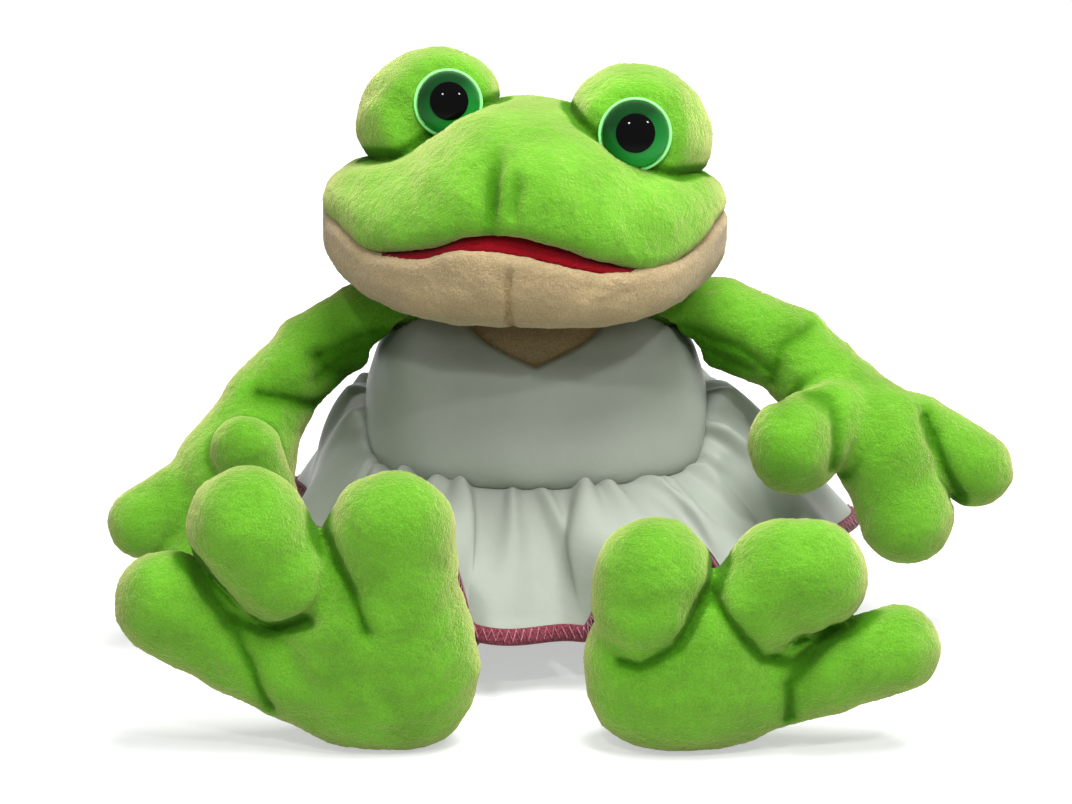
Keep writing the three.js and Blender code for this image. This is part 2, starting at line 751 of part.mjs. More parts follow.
function headGroup() {
  const group = new THREE.Group();
  group.position.copy(neckPivot);
  group.rotation.set(0, THREE.MathUtils.degToRad(headRoll), THREE.MathUtils.degToRad(headYaw), 'ZYX');
  group.updateMatrixWorld();
  const toHead = group.matrixWorld.clone().invert();
  const neckHole = socket(at(0, 0, 0), neckRadius);
  const room = neckHole.add(torsoSolid(2 * gap + cloth + headClearance, 0).transform(toHead.toArray()));
  const crown = ringsGeometry(
    crownPole(0),
    [...crownRings(0), ...crownRings(-skin).toReversed()],
    crownPole(-skin),
  );
  const jaw = ringsGeometry(
    jawPole(-skin),
    [...jawRings(-skin).toReversed(), ...jawRings(0)],
    jawPole(0),
  );
  const inset = -skin - 4 * gap;
  const inside = ringsGeometry(crownPole(inset), [...crownRings(inset), ...jawRings(inset)], jawPole(inset));
  const leftEye = eyePlace(1, leftMoundHeight, leftEyeShares);
  const rightEye = eyePlace(-1, rightMoundHeight, rightEyeShares);
  const eyeRooms = eyeRoom(leftEye).add(eyeRoom(rightEye));
  const lining = liningSolid(0, liningReachShares[1]);
  const stuffing = solidOf(inside).subtract(room).subtract(eyeRooms)
    .subtract(liningSolid(2 * gap, liningPastShare));
  group.add(
    meshOf('head_crown', solidOf(crown).subtract(eyeRooms), green()),
    meshOf('head_jaw', solidOf(jaw).subtract(room), cream()),
    meshOf('mouth_lining', lining.subtract(room), red()),
    meshOf('head_stuffing', stuffing, filling()),
    ...eyePieces('left', leftEye),
    ...eyePieces('right', rightEye),
  );
  return group;
}

// Ball of the neck, which the head turns on
function neckMesh() {
  return meshOf('neck', ball(neckPivot, neckRadius), green());
}

const leftThumb = { length: leftThumbLength, halfWidth: leftThumbHalfWidth };
const rightThumb = { length: rightThumbLength, halfWidth: rightThumbHalfWidth };

// Arm in a frame whose origin is the shoulder
function armGroup(name, side, armShares, fingerShares, thumb) {
  const group = new THREE.Group();
  group.position.copy(shoulder(side));
  const upperWay = way(armShares.upper, side);
  const foreWay = way(armShares.fore, side);
  const origin = at(0, 0, 0);
  const elbow = upperWay.clone().multiplyScalar(upperArmLength);
  const palm = elbow.clone().addScaledVector(foreWay, forearmLength);
  const facing = at(0, 1, 0);
  const upperStart = upperWay.clone().multiplyScalar(-limbOverlap);
  const upperEnd = elbow.clone().addScaledVector(upperWay, limbOverlap);
  const upper = lobe({
    start: upperStart, bend: between(upperStart, upperEnd), end: upperEnd, facing,
    halfWidth: upperArmHalfWidth, halfDepth: upperArmHalfDepth,
    startShare: limbStartShare, bluntness: limbBluntness, sides: limbSides, steps: limbSteps,
  });
  const upperArm = upper
    .subtract(beyond(elbow.clone().addScaledVector(upperWay, -socketEdge), upperWay))
    .subtract(beyond(upperWay.clone().multiplyScalar(socketEdge), upperWay.clone().negate()))
    .subtract(socket(origin, shoulderBallRadius))
    .subtract(torsoRoom(shoulder(side), limbClearance))
    .subtract(socket(elbow, elbowBallRadius));
  const palmEnd = palm.clone().addScaledVector(foreWay, palmOverhang);
  const foreStart = elbow.clone().addScaledVector(foreWay, -limbOverlap);
  const handForm = {
    start: foreStart, bend: between(foreStart, palmEnd), end: palmEnd, facing,
    halfWidth: palmHalfWidth, halfDepth: palmHalfDepth,
    startShare: palmStartShare, bluntness: palmBluntness, sides: limbSides, steps: limbSteps,
  };
  const behindElbow = beyond(elbow.clone().addScaledVector(foreWay, socketEdge), foreWay.clone().negate());
  const hand = lobe(handForm).subtract(behindElbow).add(ball(elbow, elbowBallRadius));
  let taken = lobe(handForm, gap).subtract(behindElbow);
  const finger = (part, length, halfWidth) => {
    const fingerWay = way(fingerShares[part], side);
    const tip = palm.clone().addScaledVector(fingerWay, length);
    const form = {
      start: palm, bend: between(palm, tip), end: tip, facing, halfWidth, halfDepth: fingerHalfDepth,
      startShare: fingerStartShare, bluntness: digitBluntness, sides: limbSides, steps: limbSteps,
    };
    const piece = lobe(form).subtract(taken);
    taken = taken.add(lobe(form, gap));
    return piece;
  };
  group.add(
    meshOf(`arm_root_${name}`, ball(origin, shoulderBallRadius), green()),
    meshOf(`upper_arm_${name}`, upperArm, green()),
    meshOf(`hand_${name}`, hand, green()),
    meshOf(`finger_middle_${name}`, finger('middle', middleFingerLength, middleFingerHalfWidth), green()),
    meshOf(`finger_thumb_${name}`, finger('thumb', thumb.length, thumb.halfWidth), green()),
    meshOf(`finger_outer_${name}`, finger('outer', outerFingerLength, outerFingerHalfWidth), green()),
  );
  return group;
}

// Leg in a frame whose origin is the hip
function legGroup(name, side, legShares, toeShares, roll) {
  const group = new THREE.Group();
  group.position.copy(hip(side));
  const legWay = way(legShares, side);
  const origin = at(0, 0, 0);
  const ankle = legWay.clone().multiplyScalar(legLength);
  const facing = at(0, 0, 1);
  const legStart = legWay.clone().multiplyScalar(-limbOverlap);
  const legEnd = ankle.clone().addScaledVector(legWay, limbOverlap);
  const legForm = {
    start: legStart, bend: between(legStart, legEnd), end: legEnd, facing,
    halfWidth: legHalfWidth, halfDepth: legHalfWidth,
    startShare: limbStartShare, bluntness: limbBluntness, sides: legSides, steps: limbSteps,
  };
  const leg = lobe(legForm)
    .subtract(beyond(ankle.clone().addScaledVector(legWay, -socketEdge), legWay))
    .subtract(beyond(legWay.clone().multiplyScalar(socketEdge), legWay.clone().negate()))
    .subtract(socket(origin, hipBallRadius))
    .subtract(torsoRoom(hip(side), limbClearance))
    .subtract(socket(ankle, ankleBallRadius));

  const angle = THREE.MathUtils.degToRad(roll);
  const across = at(side * Math.cos(angle), 0, Math.sin(angle));
  const upright = at(-side * Math.sin(angle), 0, Math.cos(angle));
  const reach = Math.hypot(soleHalfLength * Math.sin(angle), soleHalfHeight * Math.cos(angle));
  const sole = at(ankle.x, -ankle.y + ankleToSole, reach - seatFlattening - hipHeight);
  const front = at(0, 1, 0);
  const soleForm = {
    start: sole.clone().addScaledVector(across, -soleHalfLength), bend: sole,
    end: sole.clone().addScaledVector(across, soleHalfLength), facing: front,
    halfWidth: soleHalfHeight, halfDepth: soleHalfDepth,
    startShare: 1, bluntness: soleBluntness, sides: legSides, steps: limbSteps,
  };
  const floor = beyond(at(0, 0, -hipHeight), down);
  const foot = lobe(soleForm).add(ball(ankle, ankleBallRadius)).subtract(floor);
  let taken = lobe(soleForm, gap);
  const toe = (part, length, halfWidth) => {
    const { root, way: wayShares } = toeShares[part];
    const toeWay = way(wayShares, side);
    const start = sole.clone()
      .addScaledVector(across, root[0] * soleHalfLength)
      .addScaledVector(upright, root[1] * soleHalfHeight);
    const tip = start.clone().addScaledVector(toeWay, length);
    const form = {
      start, bend: between(start, tip), end: tip, facing: front,
      halfWidth, halfDepth: toeHalfDepth,
      startShare: toeStartShare, bluntness: digitBluntness, sides: limbSides, steps: limbSteps,
    };
    const piece = lobe(form).subtract(taken).subtract(floor);
    taken = taken.add(lobe(form, gap));
    return piece;
  };
  group.add(
    meshOf(`leg_root_${name}`, ball(origin, hipBallRadius), green()),
    meshOf(`leg_${name}`, leg.subtract(floor), green()),
    meshOf(`foot_${name}`, foot, green()),
    meshOf(`toe_inner_${name}`, toe('inner', innerToeLength, innerToeHalfWidth), green()),
    meshOf(`toe_middle_${name}`, toe('middle', middleToeLength, middleToeHalfWidth), green()),
    meshOf(`toe_outer_${name}`, toe('outer', outerToeLength, outerToeHalfWidth), green()),
  );
  return group;
}

const frog = new THREE.Group();
frog.add(
  ...torsoPieces(),
  ...dressPieces(),
  neckMesh(),
  headGroup(),
  armGroup('left', 1, leftArmShares, leftFingerShares, leftThumb),
  armGroup('right', -1, rightArmShares, rightFingerShares, rightThumb),
  legGroup('left', 1, leftLegShares, leftToeShares, leftFootRoll),
  legGroup('right', -1, rightLegShares, rightToeShares, rightFootRoll),
);

export default frog;
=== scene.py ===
"""Looks of a stuffed frog in a white dress: plush, satin, overlock thread and plastic eyes.

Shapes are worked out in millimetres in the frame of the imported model, and made metres when they become meshes.
The frog faces -Y, and its own left hand is at +X.
"""
import json
import math

import bpy
import numpy as np
from mathutils import Vector
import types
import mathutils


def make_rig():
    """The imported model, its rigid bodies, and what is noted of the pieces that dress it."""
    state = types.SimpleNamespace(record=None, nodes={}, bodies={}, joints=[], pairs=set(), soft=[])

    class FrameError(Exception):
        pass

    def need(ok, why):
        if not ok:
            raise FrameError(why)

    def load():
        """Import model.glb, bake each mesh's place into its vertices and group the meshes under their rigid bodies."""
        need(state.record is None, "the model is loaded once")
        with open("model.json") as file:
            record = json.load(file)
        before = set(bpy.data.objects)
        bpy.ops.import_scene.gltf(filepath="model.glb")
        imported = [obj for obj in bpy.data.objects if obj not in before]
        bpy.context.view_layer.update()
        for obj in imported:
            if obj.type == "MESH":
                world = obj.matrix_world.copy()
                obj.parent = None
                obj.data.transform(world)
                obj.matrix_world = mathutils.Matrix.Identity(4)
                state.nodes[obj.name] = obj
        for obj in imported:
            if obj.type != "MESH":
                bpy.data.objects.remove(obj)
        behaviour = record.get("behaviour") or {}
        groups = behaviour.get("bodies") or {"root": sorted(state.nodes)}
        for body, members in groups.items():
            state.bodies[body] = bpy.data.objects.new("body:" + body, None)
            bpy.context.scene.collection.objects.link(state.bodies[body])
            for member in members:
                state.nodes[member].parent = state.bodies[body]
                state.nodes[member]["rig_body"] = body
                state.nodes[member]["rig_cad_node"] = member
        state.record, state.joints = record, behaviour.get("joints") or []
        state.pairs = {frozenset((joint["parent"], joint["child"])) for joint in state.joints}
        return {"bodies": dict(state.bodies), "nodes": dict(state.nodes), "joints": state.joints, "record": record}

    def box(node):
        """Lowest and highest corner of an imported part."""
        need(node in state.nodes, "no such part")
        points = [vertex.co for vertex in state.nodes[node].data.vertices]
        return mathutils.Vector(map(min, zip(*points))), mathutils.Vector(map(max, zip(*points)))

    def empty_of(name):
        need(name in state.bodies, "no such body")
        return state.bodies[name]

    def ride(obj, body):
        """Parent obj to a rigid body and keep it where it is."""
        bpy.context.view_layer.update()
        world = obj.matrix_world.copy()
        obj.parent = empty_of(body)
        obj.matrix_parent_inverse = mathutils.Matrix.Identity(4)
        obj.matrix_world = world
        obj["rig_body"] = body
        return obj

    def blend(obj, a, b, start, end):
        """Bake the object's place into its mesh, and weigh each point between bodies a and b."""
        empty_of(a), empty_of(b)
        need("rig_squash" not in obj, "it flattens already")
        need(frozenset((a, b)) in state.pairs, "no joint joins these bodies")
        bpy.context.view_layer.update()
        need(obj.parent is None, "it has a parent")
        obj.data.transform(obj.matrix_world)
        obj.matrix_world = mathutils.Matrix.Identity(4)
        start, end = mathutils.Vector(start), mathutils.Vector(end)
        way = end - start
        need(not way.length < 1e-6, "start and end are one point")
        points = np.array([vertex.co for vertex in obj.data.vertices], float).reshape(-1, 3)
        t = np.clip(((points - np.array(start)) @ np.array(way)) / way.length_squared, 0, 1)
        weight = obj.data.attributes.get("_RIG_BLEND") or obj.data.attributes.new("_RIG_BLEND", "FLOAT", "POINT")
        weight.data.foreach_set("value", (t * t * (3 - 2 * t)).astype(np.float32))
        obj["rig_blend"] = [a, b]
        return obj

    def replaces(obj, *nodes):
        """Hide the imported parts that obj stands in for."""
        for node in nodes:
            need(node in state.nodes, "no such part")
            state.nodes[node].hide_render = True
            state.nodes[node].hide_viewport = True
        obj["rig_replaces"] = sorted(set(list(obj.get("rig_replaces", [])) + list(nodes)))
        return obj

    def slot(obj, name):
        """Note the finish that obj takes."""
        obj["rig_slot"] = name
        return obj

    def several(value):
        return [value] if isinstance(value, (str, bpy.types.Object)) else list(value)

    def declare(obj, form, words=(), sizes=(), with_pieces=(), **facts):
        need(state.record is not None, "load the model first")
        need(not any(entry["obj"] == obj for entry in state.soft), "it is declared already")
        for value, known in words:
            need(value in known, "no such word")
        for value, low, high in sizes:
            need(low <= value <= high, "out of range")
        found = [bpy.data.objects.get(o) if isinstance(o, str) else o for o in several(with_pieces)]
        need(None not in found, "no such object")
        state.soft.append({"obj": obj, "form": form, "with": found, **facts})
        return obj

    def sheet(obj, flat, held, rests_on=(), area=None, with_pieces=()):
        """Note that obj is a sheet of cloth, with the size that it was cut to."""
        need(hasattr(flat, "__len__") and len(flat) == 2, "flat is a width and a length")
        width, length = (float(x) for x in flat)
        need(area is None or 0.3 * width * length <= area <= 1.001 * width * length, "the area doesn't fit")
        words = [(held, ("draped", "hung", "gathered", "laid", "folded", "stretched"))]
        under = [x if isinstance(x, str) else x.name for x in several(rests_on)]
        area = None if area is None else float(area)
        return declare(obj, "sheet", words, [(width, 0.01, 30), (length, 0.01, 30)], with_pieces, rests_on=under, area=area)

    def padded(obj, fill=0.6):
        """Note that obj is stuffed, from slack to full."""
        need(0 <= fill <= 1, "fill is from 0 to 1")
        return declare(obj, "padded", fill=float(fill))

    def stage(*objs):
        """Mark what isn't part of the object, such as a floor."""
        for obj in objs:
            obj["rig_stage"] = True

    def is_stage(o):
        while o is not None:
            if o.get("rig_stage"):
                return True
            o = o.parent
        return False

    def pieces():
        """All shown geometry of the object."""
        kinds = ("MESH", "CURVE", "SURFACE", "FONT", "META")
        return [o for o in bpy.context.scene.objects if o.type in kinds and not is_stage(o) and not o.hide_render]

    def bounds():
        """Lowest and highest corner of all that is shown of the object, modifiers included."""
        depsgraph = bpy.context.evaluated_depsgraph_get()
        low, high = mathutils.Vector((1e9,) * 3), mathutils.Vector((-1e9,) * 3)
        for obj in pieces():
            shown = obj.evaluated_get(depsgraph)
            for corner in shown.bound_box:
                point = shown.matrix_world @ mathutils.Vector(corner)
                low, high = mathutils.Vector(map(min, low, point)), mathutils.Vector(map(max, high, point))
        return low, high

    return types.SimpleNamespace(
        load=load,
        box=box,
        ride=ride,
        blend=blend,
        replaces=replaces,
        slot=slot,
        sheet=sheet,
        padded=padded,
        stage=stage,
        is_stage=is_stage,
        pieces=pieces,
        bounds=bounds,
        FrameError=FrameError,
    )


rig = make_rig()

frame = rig.load()
cad_low, cad_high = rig.bounds()

MM = 0.001
SIDES = {"left": 1, "right": -1}
JOINTS = {joint["name"]: joint for joint in frame["joints"]}

# Torso and dress, in mm
TORSO_HEIGHT, TORSO_HALF_WIDTH, TORSO_HALF_DEPTH = 126.0, 66.0, 49.0
TORSO_STEP, TORSO_SMOOTHING, TORSO_PAST_TOP, TORSO_FLOOR_EDGE = 0.5, 15, -0.14, 3.0
TORSO_PROFILE = [  # share of the height, share of the width there
    (0.0, 0.62), (0.012, 0.8), (0.07, 0.93), (0.2, 1.0), (0.42, 0.985),
    (0.66, 0.915), (0.83, 0.855), (0.915, 0.74), (0.97, 0.52), (1.0, 0.0),
]
WAIST_FRONT, WAIST_SIDE, WAIST_BACK = 63.0, 84.0, 86.0
WAIST_DIP = 0.55  # cosine of the turn from the front at which the dip is full
NECKLINE_FRONT, NECKLINE_BACK, NECKLINE_SIDE = 106.0, 118.0, 123.5
NECKLINE_SLOPE = 0.8
BODICE_OFF, BODICE_CLOTH = 1.7, 0.9
HEM_HALF_WIDTH, HEM_FRONT_DEPTH, HEM_BACK_DEPTH, HEM_SHIFT = 106.0, 88.0, 92.0, 11.0
HEM_FRONT, HEM_LEFT, HEM_RIGHT, HEM_BACK = 20.0, 29.0, 43.0, 26.0
HEM_OVER_LEG = 50.0
HEM_SWAY = [(-1.25, -5.0, 0.5), (1.0, -4.5, 0.42), (1.9, 8.5, 0.45)]  # turn, how far out, width
HEM_OUTSIDE_ROOM, HEM_INSIDE_ROOM = {"left": 7.0, "right": 1.0}, 0.6  # room of its arch past each side of a leg
SKIRT_AROUND, SKIRT_ROWS, SKIRT_OFF = 720, 60, 1.2
SKIRT_CLOTH, FOLD_DEPTH, FOLD_COUNT = 0.7, 5.0, 12
GATHER_COUNT, GATHER_SHIFT, GATHER_DRIFT, GATHER_SPREAD, GATHER_START = 32, 0.07, 0.22, 0.06, 0.1
GATHER_RUN, GATHER_DEPTH, GATHER_WIDTH = (0.5, 1.4), (2.6, 7.6), (0.028, 0.055)
SKIRT_SWELL, SKIRT_SIDE_SWELL, SKIRT_SWELL_START, SKIRT_SWELL_RUN = 1.5, 3.0, 0.04, 0.3
OVERLOCK_WIDTH, OVERLOCK_THICKNESS, OVERLOCK_INSET = 6.2, 2.6, 2.0
STITCH_PITCH, STITCH_SWING, STITCH_RADIUS, STITCH_OFF = 2.9, 2.0, 0.42, 0.05
BODICE_AROUND, BODICE_ROWS, ARMHOLE_RADIUS = 240, 30, 15.0
SWELL_DEPTH, SWELL_START, SWELL_PLACE, SWELL_REACH = 3.4, 2.2, 5.0, 15.0
CHEST_LOW, CHEST_HIGH, CHEST_HALF_TURN = 52.0, 122.0, math.radians(42)
CHEST_ROUND_FROM, CHEST_ROUND_DROP, CHEST_OFF, CHEST_CLOTH = 88.0, 37.0, 0.25, 0.7
CHEST_HALF, CHEST_SEAM_DEPTH, CHEST_SEAM_WIDTH = 29.0, 0.5, 0.8
STRIP_LOW, STRIP_HIGH, STRIP_HALF, STRIP_ROUND, STRIP_OFF, STRIP_CLOTH = 87.0, 119.0, 7.0, 42.0, 0.7, 1.0
NECK_RADIUS, NECK_MIDDLE, NECK_HALF_HEIGHT, NECK_PLACE = 24.0, 123.0, 23.5, (-3.0, -5.0, 0.0)

# Head, in its own frame at the neck, in mm: sideways, in front and up
HEAD_YAW, HEAD_ROLL = math.radians(-9), math.radians(2)
HEAD_HALF_WIDTH, HEAD_FRONT, HEAD_BACK, HEAD_FORWARD = 73.0, 60.0, 52.0, 15.0
CROWN_TOP, JAW_BOTTOM, CHIN_DROP = 77.0, 4.0, 11.0
SEAM_ROWS = [  # turn from the front in degrees, height of the seam, opening between the lips
    (-180, 37, 0), (-100, 39, 0), (-80, 37, 0), (-65, 33, 0), (-52.8, 30.2, 0), (-45.4, 27.3, 0), (-40, 26.2, 0.3),
    (-28.3, 28, 1.7), (-21.6, 29.3, 2.6), (-16.5, 31.2, 2.2), (-12.2, 33.7, 3.0), (-6, 34.9, 3.6), (1.1, 35.4, 4.4),
    (9.1, 34.2, 4.6), (17.2, 32, 4.4), (28.5, 28.5, 3.2), (38.6, 26.6, 0.8), (44.3, 26.6, 0), (55.9, 28, 0),
    (65.4, 32.2, 0), (72.6, 36.5, 0), (80, 39.5, 0), (100, 40, 0), (180, 37, 0),
]
MOUTH_HALF_ANGLE = math.radians(44)
LIP_OVERLAP, LIP_FADE, CROWN_LIP, JAW_LIP = 1.2, 0.4, 7.0, 4.5
CROWN_BACK_POWERS, CROWN_FRONT_POWERS, JAW_POWERS, JAW_MIDDLE_RISE = (2.2, 1.9), (2.7, 2.4), (3.5, 3.0), 6.0
LINING_HALF, LINING_BACK, LINING_REACH, LINING_SLANT, LINING_SPAN, LINING_CELL = 1.3, 20.0, 0.97, 0.075, 55.0, 1.0
WADDING_INSIDE, WADDING_CELL = 6.0, 4.0
BROW_LONG = {"place": -2.2, "width": 3.0, "depth": 3.4}
BROW_SHORT = {"place": 5.8, "width": 2.4, "depth": 2.2}
BROW_LONG_TOP, BROW_LONG_FOOT, BROW_LONG_LEFT = (70, 16), (38, 8), 0.35  # where it ends, over what length, what is left
BROW_SHORT_TOP, BROW_SHORT_FOOT, BROW_FRONT = (62, 9), (41, 7), (40, 20)
CHIN_SEAM = {"place": 4.7, "width": 1.1, "depth": 0.9}
CHIN_SEAM_FRONT, CHIN_SEAM_TOP = (30, 20), (29, 4)
CROWN_LEFT_DROP, CROWN_RIGHT_DROP, CROWN_FLAT, CROWN_FALL = 9.0, 15.0, 10.0, 38.0
MOUND_RADIUS, MOUND_SPACING, MOUND_FORWARD = 27.0, 76.0, 15.0
MOUND_HEIGHT = {"left": 64.0, "right": 65.0}
MOUND_SKIN = {"left": 27.0, "right": 26.0}
MOUND_SHIFT = {"left": (0.5, 0.0, 0.0), "right": (2.5, 0.0, 0.0)}
MOUND_GROOVE_DEPTH, MOUND_GROOVE_WIDTH = 2.2, 2.4
MOUND_FILLET, EYE_BED_FILLET, EYE_BED_EDGE = 1.2, 8.0, 2.5
EYE_BED_RADIUS, EYE_BED_BEHIND, EYE_SUNK = 19.6, 14.0, 0.3
EYE_PLACE_WAY = {"left": (-0.02, 0.976, 0.217), "right": (0.43, 0.8, 0.43)}
EYE_WAY = {"left": (-0.02, 0.976, 0.217), "right": (0.08, 0.965, 0.25)}
EYE_RADIUS, EYE_DOME, PUPIL_RADIUS, RIM_WIDTH, RIM_THICKNESS = 12.0, 6.5, 6.7, 1.3, 1.2
EYE_SIZE = {"left": 0.95, "right": 0.9}
# SHADE_WAY is the way the iris's painted light and shade runs, from lighter low down to darker high up
EYE_BASE, CAP_TOP, CAP_UNDER, SHADE_WAY = 1.5, 1.75, 1.0, (-0.35, 0, 1)
RING_LOW, RING_SEAT, RING_TOP, RING_GAP, RING_BULGE = -0.9, -0.8, 0.6, 0.05, RIM_THICKNESS * 0.6
EYE_SEAT = math.sqrt(MOUND_RADIUS**2 - (EYE_RADIUS + RIM_WIDTH) ** 2)

# Limbs as chains of points in mm: sideways at +X, in front, above the floor, and the radius there
ARM = {
    "left": [(38, -1, 118, 16.5), (68, 6, 115, 16.5), (93, 12, 106, 16), (112, 23, 89, 17), (126, 32, 77, 19.5)],
    "right": [
        (-38, -1, 118, 15), (-64, 6, 115, 14.6), (-83, 12, 104.5, 14.6), (-99.5, 23, 86, 16.3), (-109, 36, 66, 21.5),
    ],
}
FINGERS = {
    "left": {
        "middle": [(127, 33, 71, 17), (134.5, 39, 50.5, 17.3)],
        "outer": [(138, 31, 80, 14.2), (159.6, 33, 66.5, 13.8)],
        "thumb": [(108, 36, 85, 15), (92.5, 46, 79.5, 18)],
    },
    "right": {
        "middle": [(-113, 40, 52, 17), (-120, 45, 35, 16.5)],
        "outer": [(-120, 38, 62, 13), (-141, 46, 50, 13)],
        "thumb": [(-98, 46, 60, 12.5), (-103, 50, 79, 12.3)],
    },
}
FINGER_FILLET = {"left": {"middle": 6, "outer": 2, "thumb": 4}, "right": {"middle": 5, "outer": 4, "thumb": 1.5}}
ARM_FLATNESS, FINGER_FLATNESS = 0.86, 0.84
LIMB_OFF_TORSO, LIMB_TORSO_EDGE, LIMB_PAST_JOINT, LIMB_END_EDGE, LIMB_MARGIN = 3.0, 3.0, 4.0, 9.0, 14.0
ARMPIT_OFF, ARMPIT_TOP, ARMPIT_FADE = 3.5, 120.0, 14.0
# Painted shade of the armpits: its depth as a fold, how far off the torso it ends, over what range it grows, and over
# what height it fades
ARMPIT_SHADE, ARMPIT_SHADE_OFF, ARMPIT_SHADE_RANGE, ARMPIT_SHADE_FADE = 4.4, 30.0, 26.0, 12.0
SHOULDER_RADIUS, HIP_RADIUS = 12.5, 15.5
LEG_HALF, LEG_LEAN = 19.0, {"left": 0.3054, "right": 0.3617}  # sideways for each mm towards the front
HIP_OUT, HIP_FRONT = 30.0, 42.66
HEM_ROOM, HEM_ROOM_REACH = 2.6, 13.0
ANKLE_TO_SOLE = 19.0
SOLE, SOLE_POWER, SOLE_FILLET, SOLE_EDGE = (35.0, 28.5, 17.0), 2.4, 6.0, 2.5
FOOT_ROLL = {"left": math.radians(4), "right": math.radians(12)}
TOES = {
    "left": {
        "inner": [(36.5, 131.5, 50.5, 18.7), (38, 131.5, 60.5, 18.7)],
        "middle": [(70.5, 131.5, 50, 17), (79.5, 131.5, 60.5, 18), (88, 132, 60, 18.8)],
        "outer": [(72, 130, 21, 15.5), (94, 131.5, 28.5, 15.5), (116.5, 131.5, 35, 14.5)],
    },
    "right": {
        "inner": [(-44, 128, 45, 19), (-46, 130, 74.5, 20.3)],
        "middle": [(-81.5, 131.5, 61.5, 17.5), (-92.5, 131.5, 77, 19.3)],
        "outer": [(-76, 128, 25, 17), (-98, 129.5, 36, 16), (-119, 131, 51, 17)],
    },
}
TOE_FILLET = {"left": {"inner": 2, "middle": 2, "outer": 2}, "right": {"inner": 12, "middle": 2, "outer": 2}}
TOE_FLATNESS, WEB_FILLET = 0.83, 10.0
WEB = {"left": [(58, 129, 40, 14), (60, 129, 50, 10)], "right": [(-62, 128, 45, 18), (-66, 128, 60, 12)]}

# Creases pressed in from the front: a line of points sideways and above the floor, its depth, its width, and how far
# in front it starts
ARM_CREASES = {
    "left": [
        ([(104, 119.8), (95.2, 113.5), (88.9, 109), (86.7, 96.3)], 2.4, 2.6, 14),
        ([(139.4, 88), (147.1, 69.3), (153.1, 59.1)], 3.0, 2.2, 30),
        ([(96.5, 98.6), (104.8, 94.6), (106.4, 88.7), (106, 71.7)], 2.6, 2.2, 36),
        ([(53.1, 116.5), (65.6, 111.2), (74.4, 109), (84.5, 101.1)], 1.8, 2.2, 8),
        ([(56.1, 110.6), (67.9, 104.6), (79, 100.1)], 1.6, 2.0, 8),
    ],
    "right": [
        ([(-74, 86), (-84, 89), (-90, 92), (-100, 94)], 3.4, 2.8, 12),
        ([(-70, 98), (-76, 101), (-80, 107)], 1.4, 2.6, 8),
        ([(-56, 114.5), (-67.8, 111.2), (-79, 106)], 1.8, 2.4, 8),
        ([(-59, 108.8), (-72, 104), (-80, 98)], 1.6, 2.2, 8),
    ],
}
FOOT_CREASES = {
    "left": [
        ([(27, 34.5), (33.4, 33.4), (45, 40), (54.1, 56.5)], 3.4, 2.2, 132),
        ([(56.6, 55.1), (72.4, 35.5), (82.7, 33.4), (88, 36)], 2.8, 2.0, 132),
        ([(82, 14), (81, 26.5), (95.2, 44.3)], 3.8, 2.4, 130),
    ],
    "right": [
        ([(-109, 66.2), (-98.6, 48), (-86.5, 44), (-72.7, 47.7)], 3.6, 2.2, 132),
        ([(-97.5, 47), (-92, 35), (-86.4, 17)], 3.0, 2.0, 130),
        ([(-66, 73), (-59.1, 59.9), (-54, 46)], 3.0, 2.2, 132),
    ],
}

# Plush: the net's cell, the blends, the lengths of its unevenness, and how sunken a place or how deep a fold must be to
# take painted shade, in mm
CELL = 1.25
CHAIN_FILLET, CREASE_FADE = 1.5, 6.0
LUMP_LENGTH, SMALL_LUMP_LENGTH, NAP_LENGTH = 26.0, 11.0, 3.1
HOLLOW_REACH, HOLLOW_FULL, HOLLOW_RANGE, FOLD_SHADE = 6.0, 0.92, 0.7, 3.8
UP = np.array([0.0, 0.0, 1.0])
FRONT = np.array([0.0, -1.0, 0.0])


# Vectors and fields
def at(x, front, height):
    """Point at a distance sideways, in front of the middle and above the floor."""
    return np.stack(np.broadcast_arrays(np.asarray(x, float), -np.asarray(front, float), height), -1)


def unit(vector):
    """Vector divided by its length."""
    vector = np.asarray(vector, float)
    return vector / np.linalg.norm(vector, axis=-1, keepdims=True)


def pivot(name):
    """Place of a joint, in mm."""
    return np.array(JOINTS[name]["pos_m"], float) / MM


def ease(x):
    """Smooth step: 3x^2 - 2x^3, with x held between 0 and 1."""
    x = np.clip(x, 0, 1)
    return x * x * (3 - 2 * x)


def past(x, start, length):
    """Smooth step up from 0 at start, over a length."""
    return ease((x - start) / length)


def short_of(x, end, length):
    """Smooth step down to 0 at end, over a length."""
    return ease((end - x) / length)


def joined(a, b, fillet):
    """Union of two fields with a fillet: min(a, b) less h^2 * fillet / 4, where h = 1 - |a - b| / fillet."""
    h = np.maximum(1 - np.abs(a - b) / fillet, 0)
    return np.minimum(a, b) - h * h * fillet / 4


def cut(a, b, fillet):
    """Common part of two fields, with the edge between them rounded: the union of their opposites, reversed."""
    return -joined(-a, -b, fillet)


def chain(p, points, flatness=1.0):
    """Stuffed tube: distance to a chain of points, with the part along the front divided by flatness, less a radius
    that eases from each point's radius to the next."""
    field = None
    for (*a, ra), (*b, rb) in zip(points, points[1:]):
        a, b = at(*a), at(*b)
        run = b - a
        share = np.clip((p - a) @ run / (run @ run), 0, 1)
        off = p - a - share[..., None] * run
        through = unit(FRONT - (FRONT @ unit(run)) * unit(run))
        off = off + (off @ through * (1 / flatness - 1))[..., None] * through
        part = np.linalg.norm(off, axis=-1) - (ra + (rb - ra) * ease(share))
        field = part if field is None else joined(field, part, CHAIN_FILLET)
    return field


def puff(p, centre, axes, halves, power):
    """Stuffed pad: k - 1 over the slope of k, where k^power is the sum of |x / half|^power along three axes."""
    x = np.abs((p - centre) @ np.asarray(axes).T) / halves
    k = np.maximum((x**power).sum(-1), 1e-6) ** (1 / power)
    slope = k ** (1 - power) * np.linalg.norm(x ** (power - 1) / halves, axis=-1)
    return (k - 1) / np.maximum(slope, 1e-4)


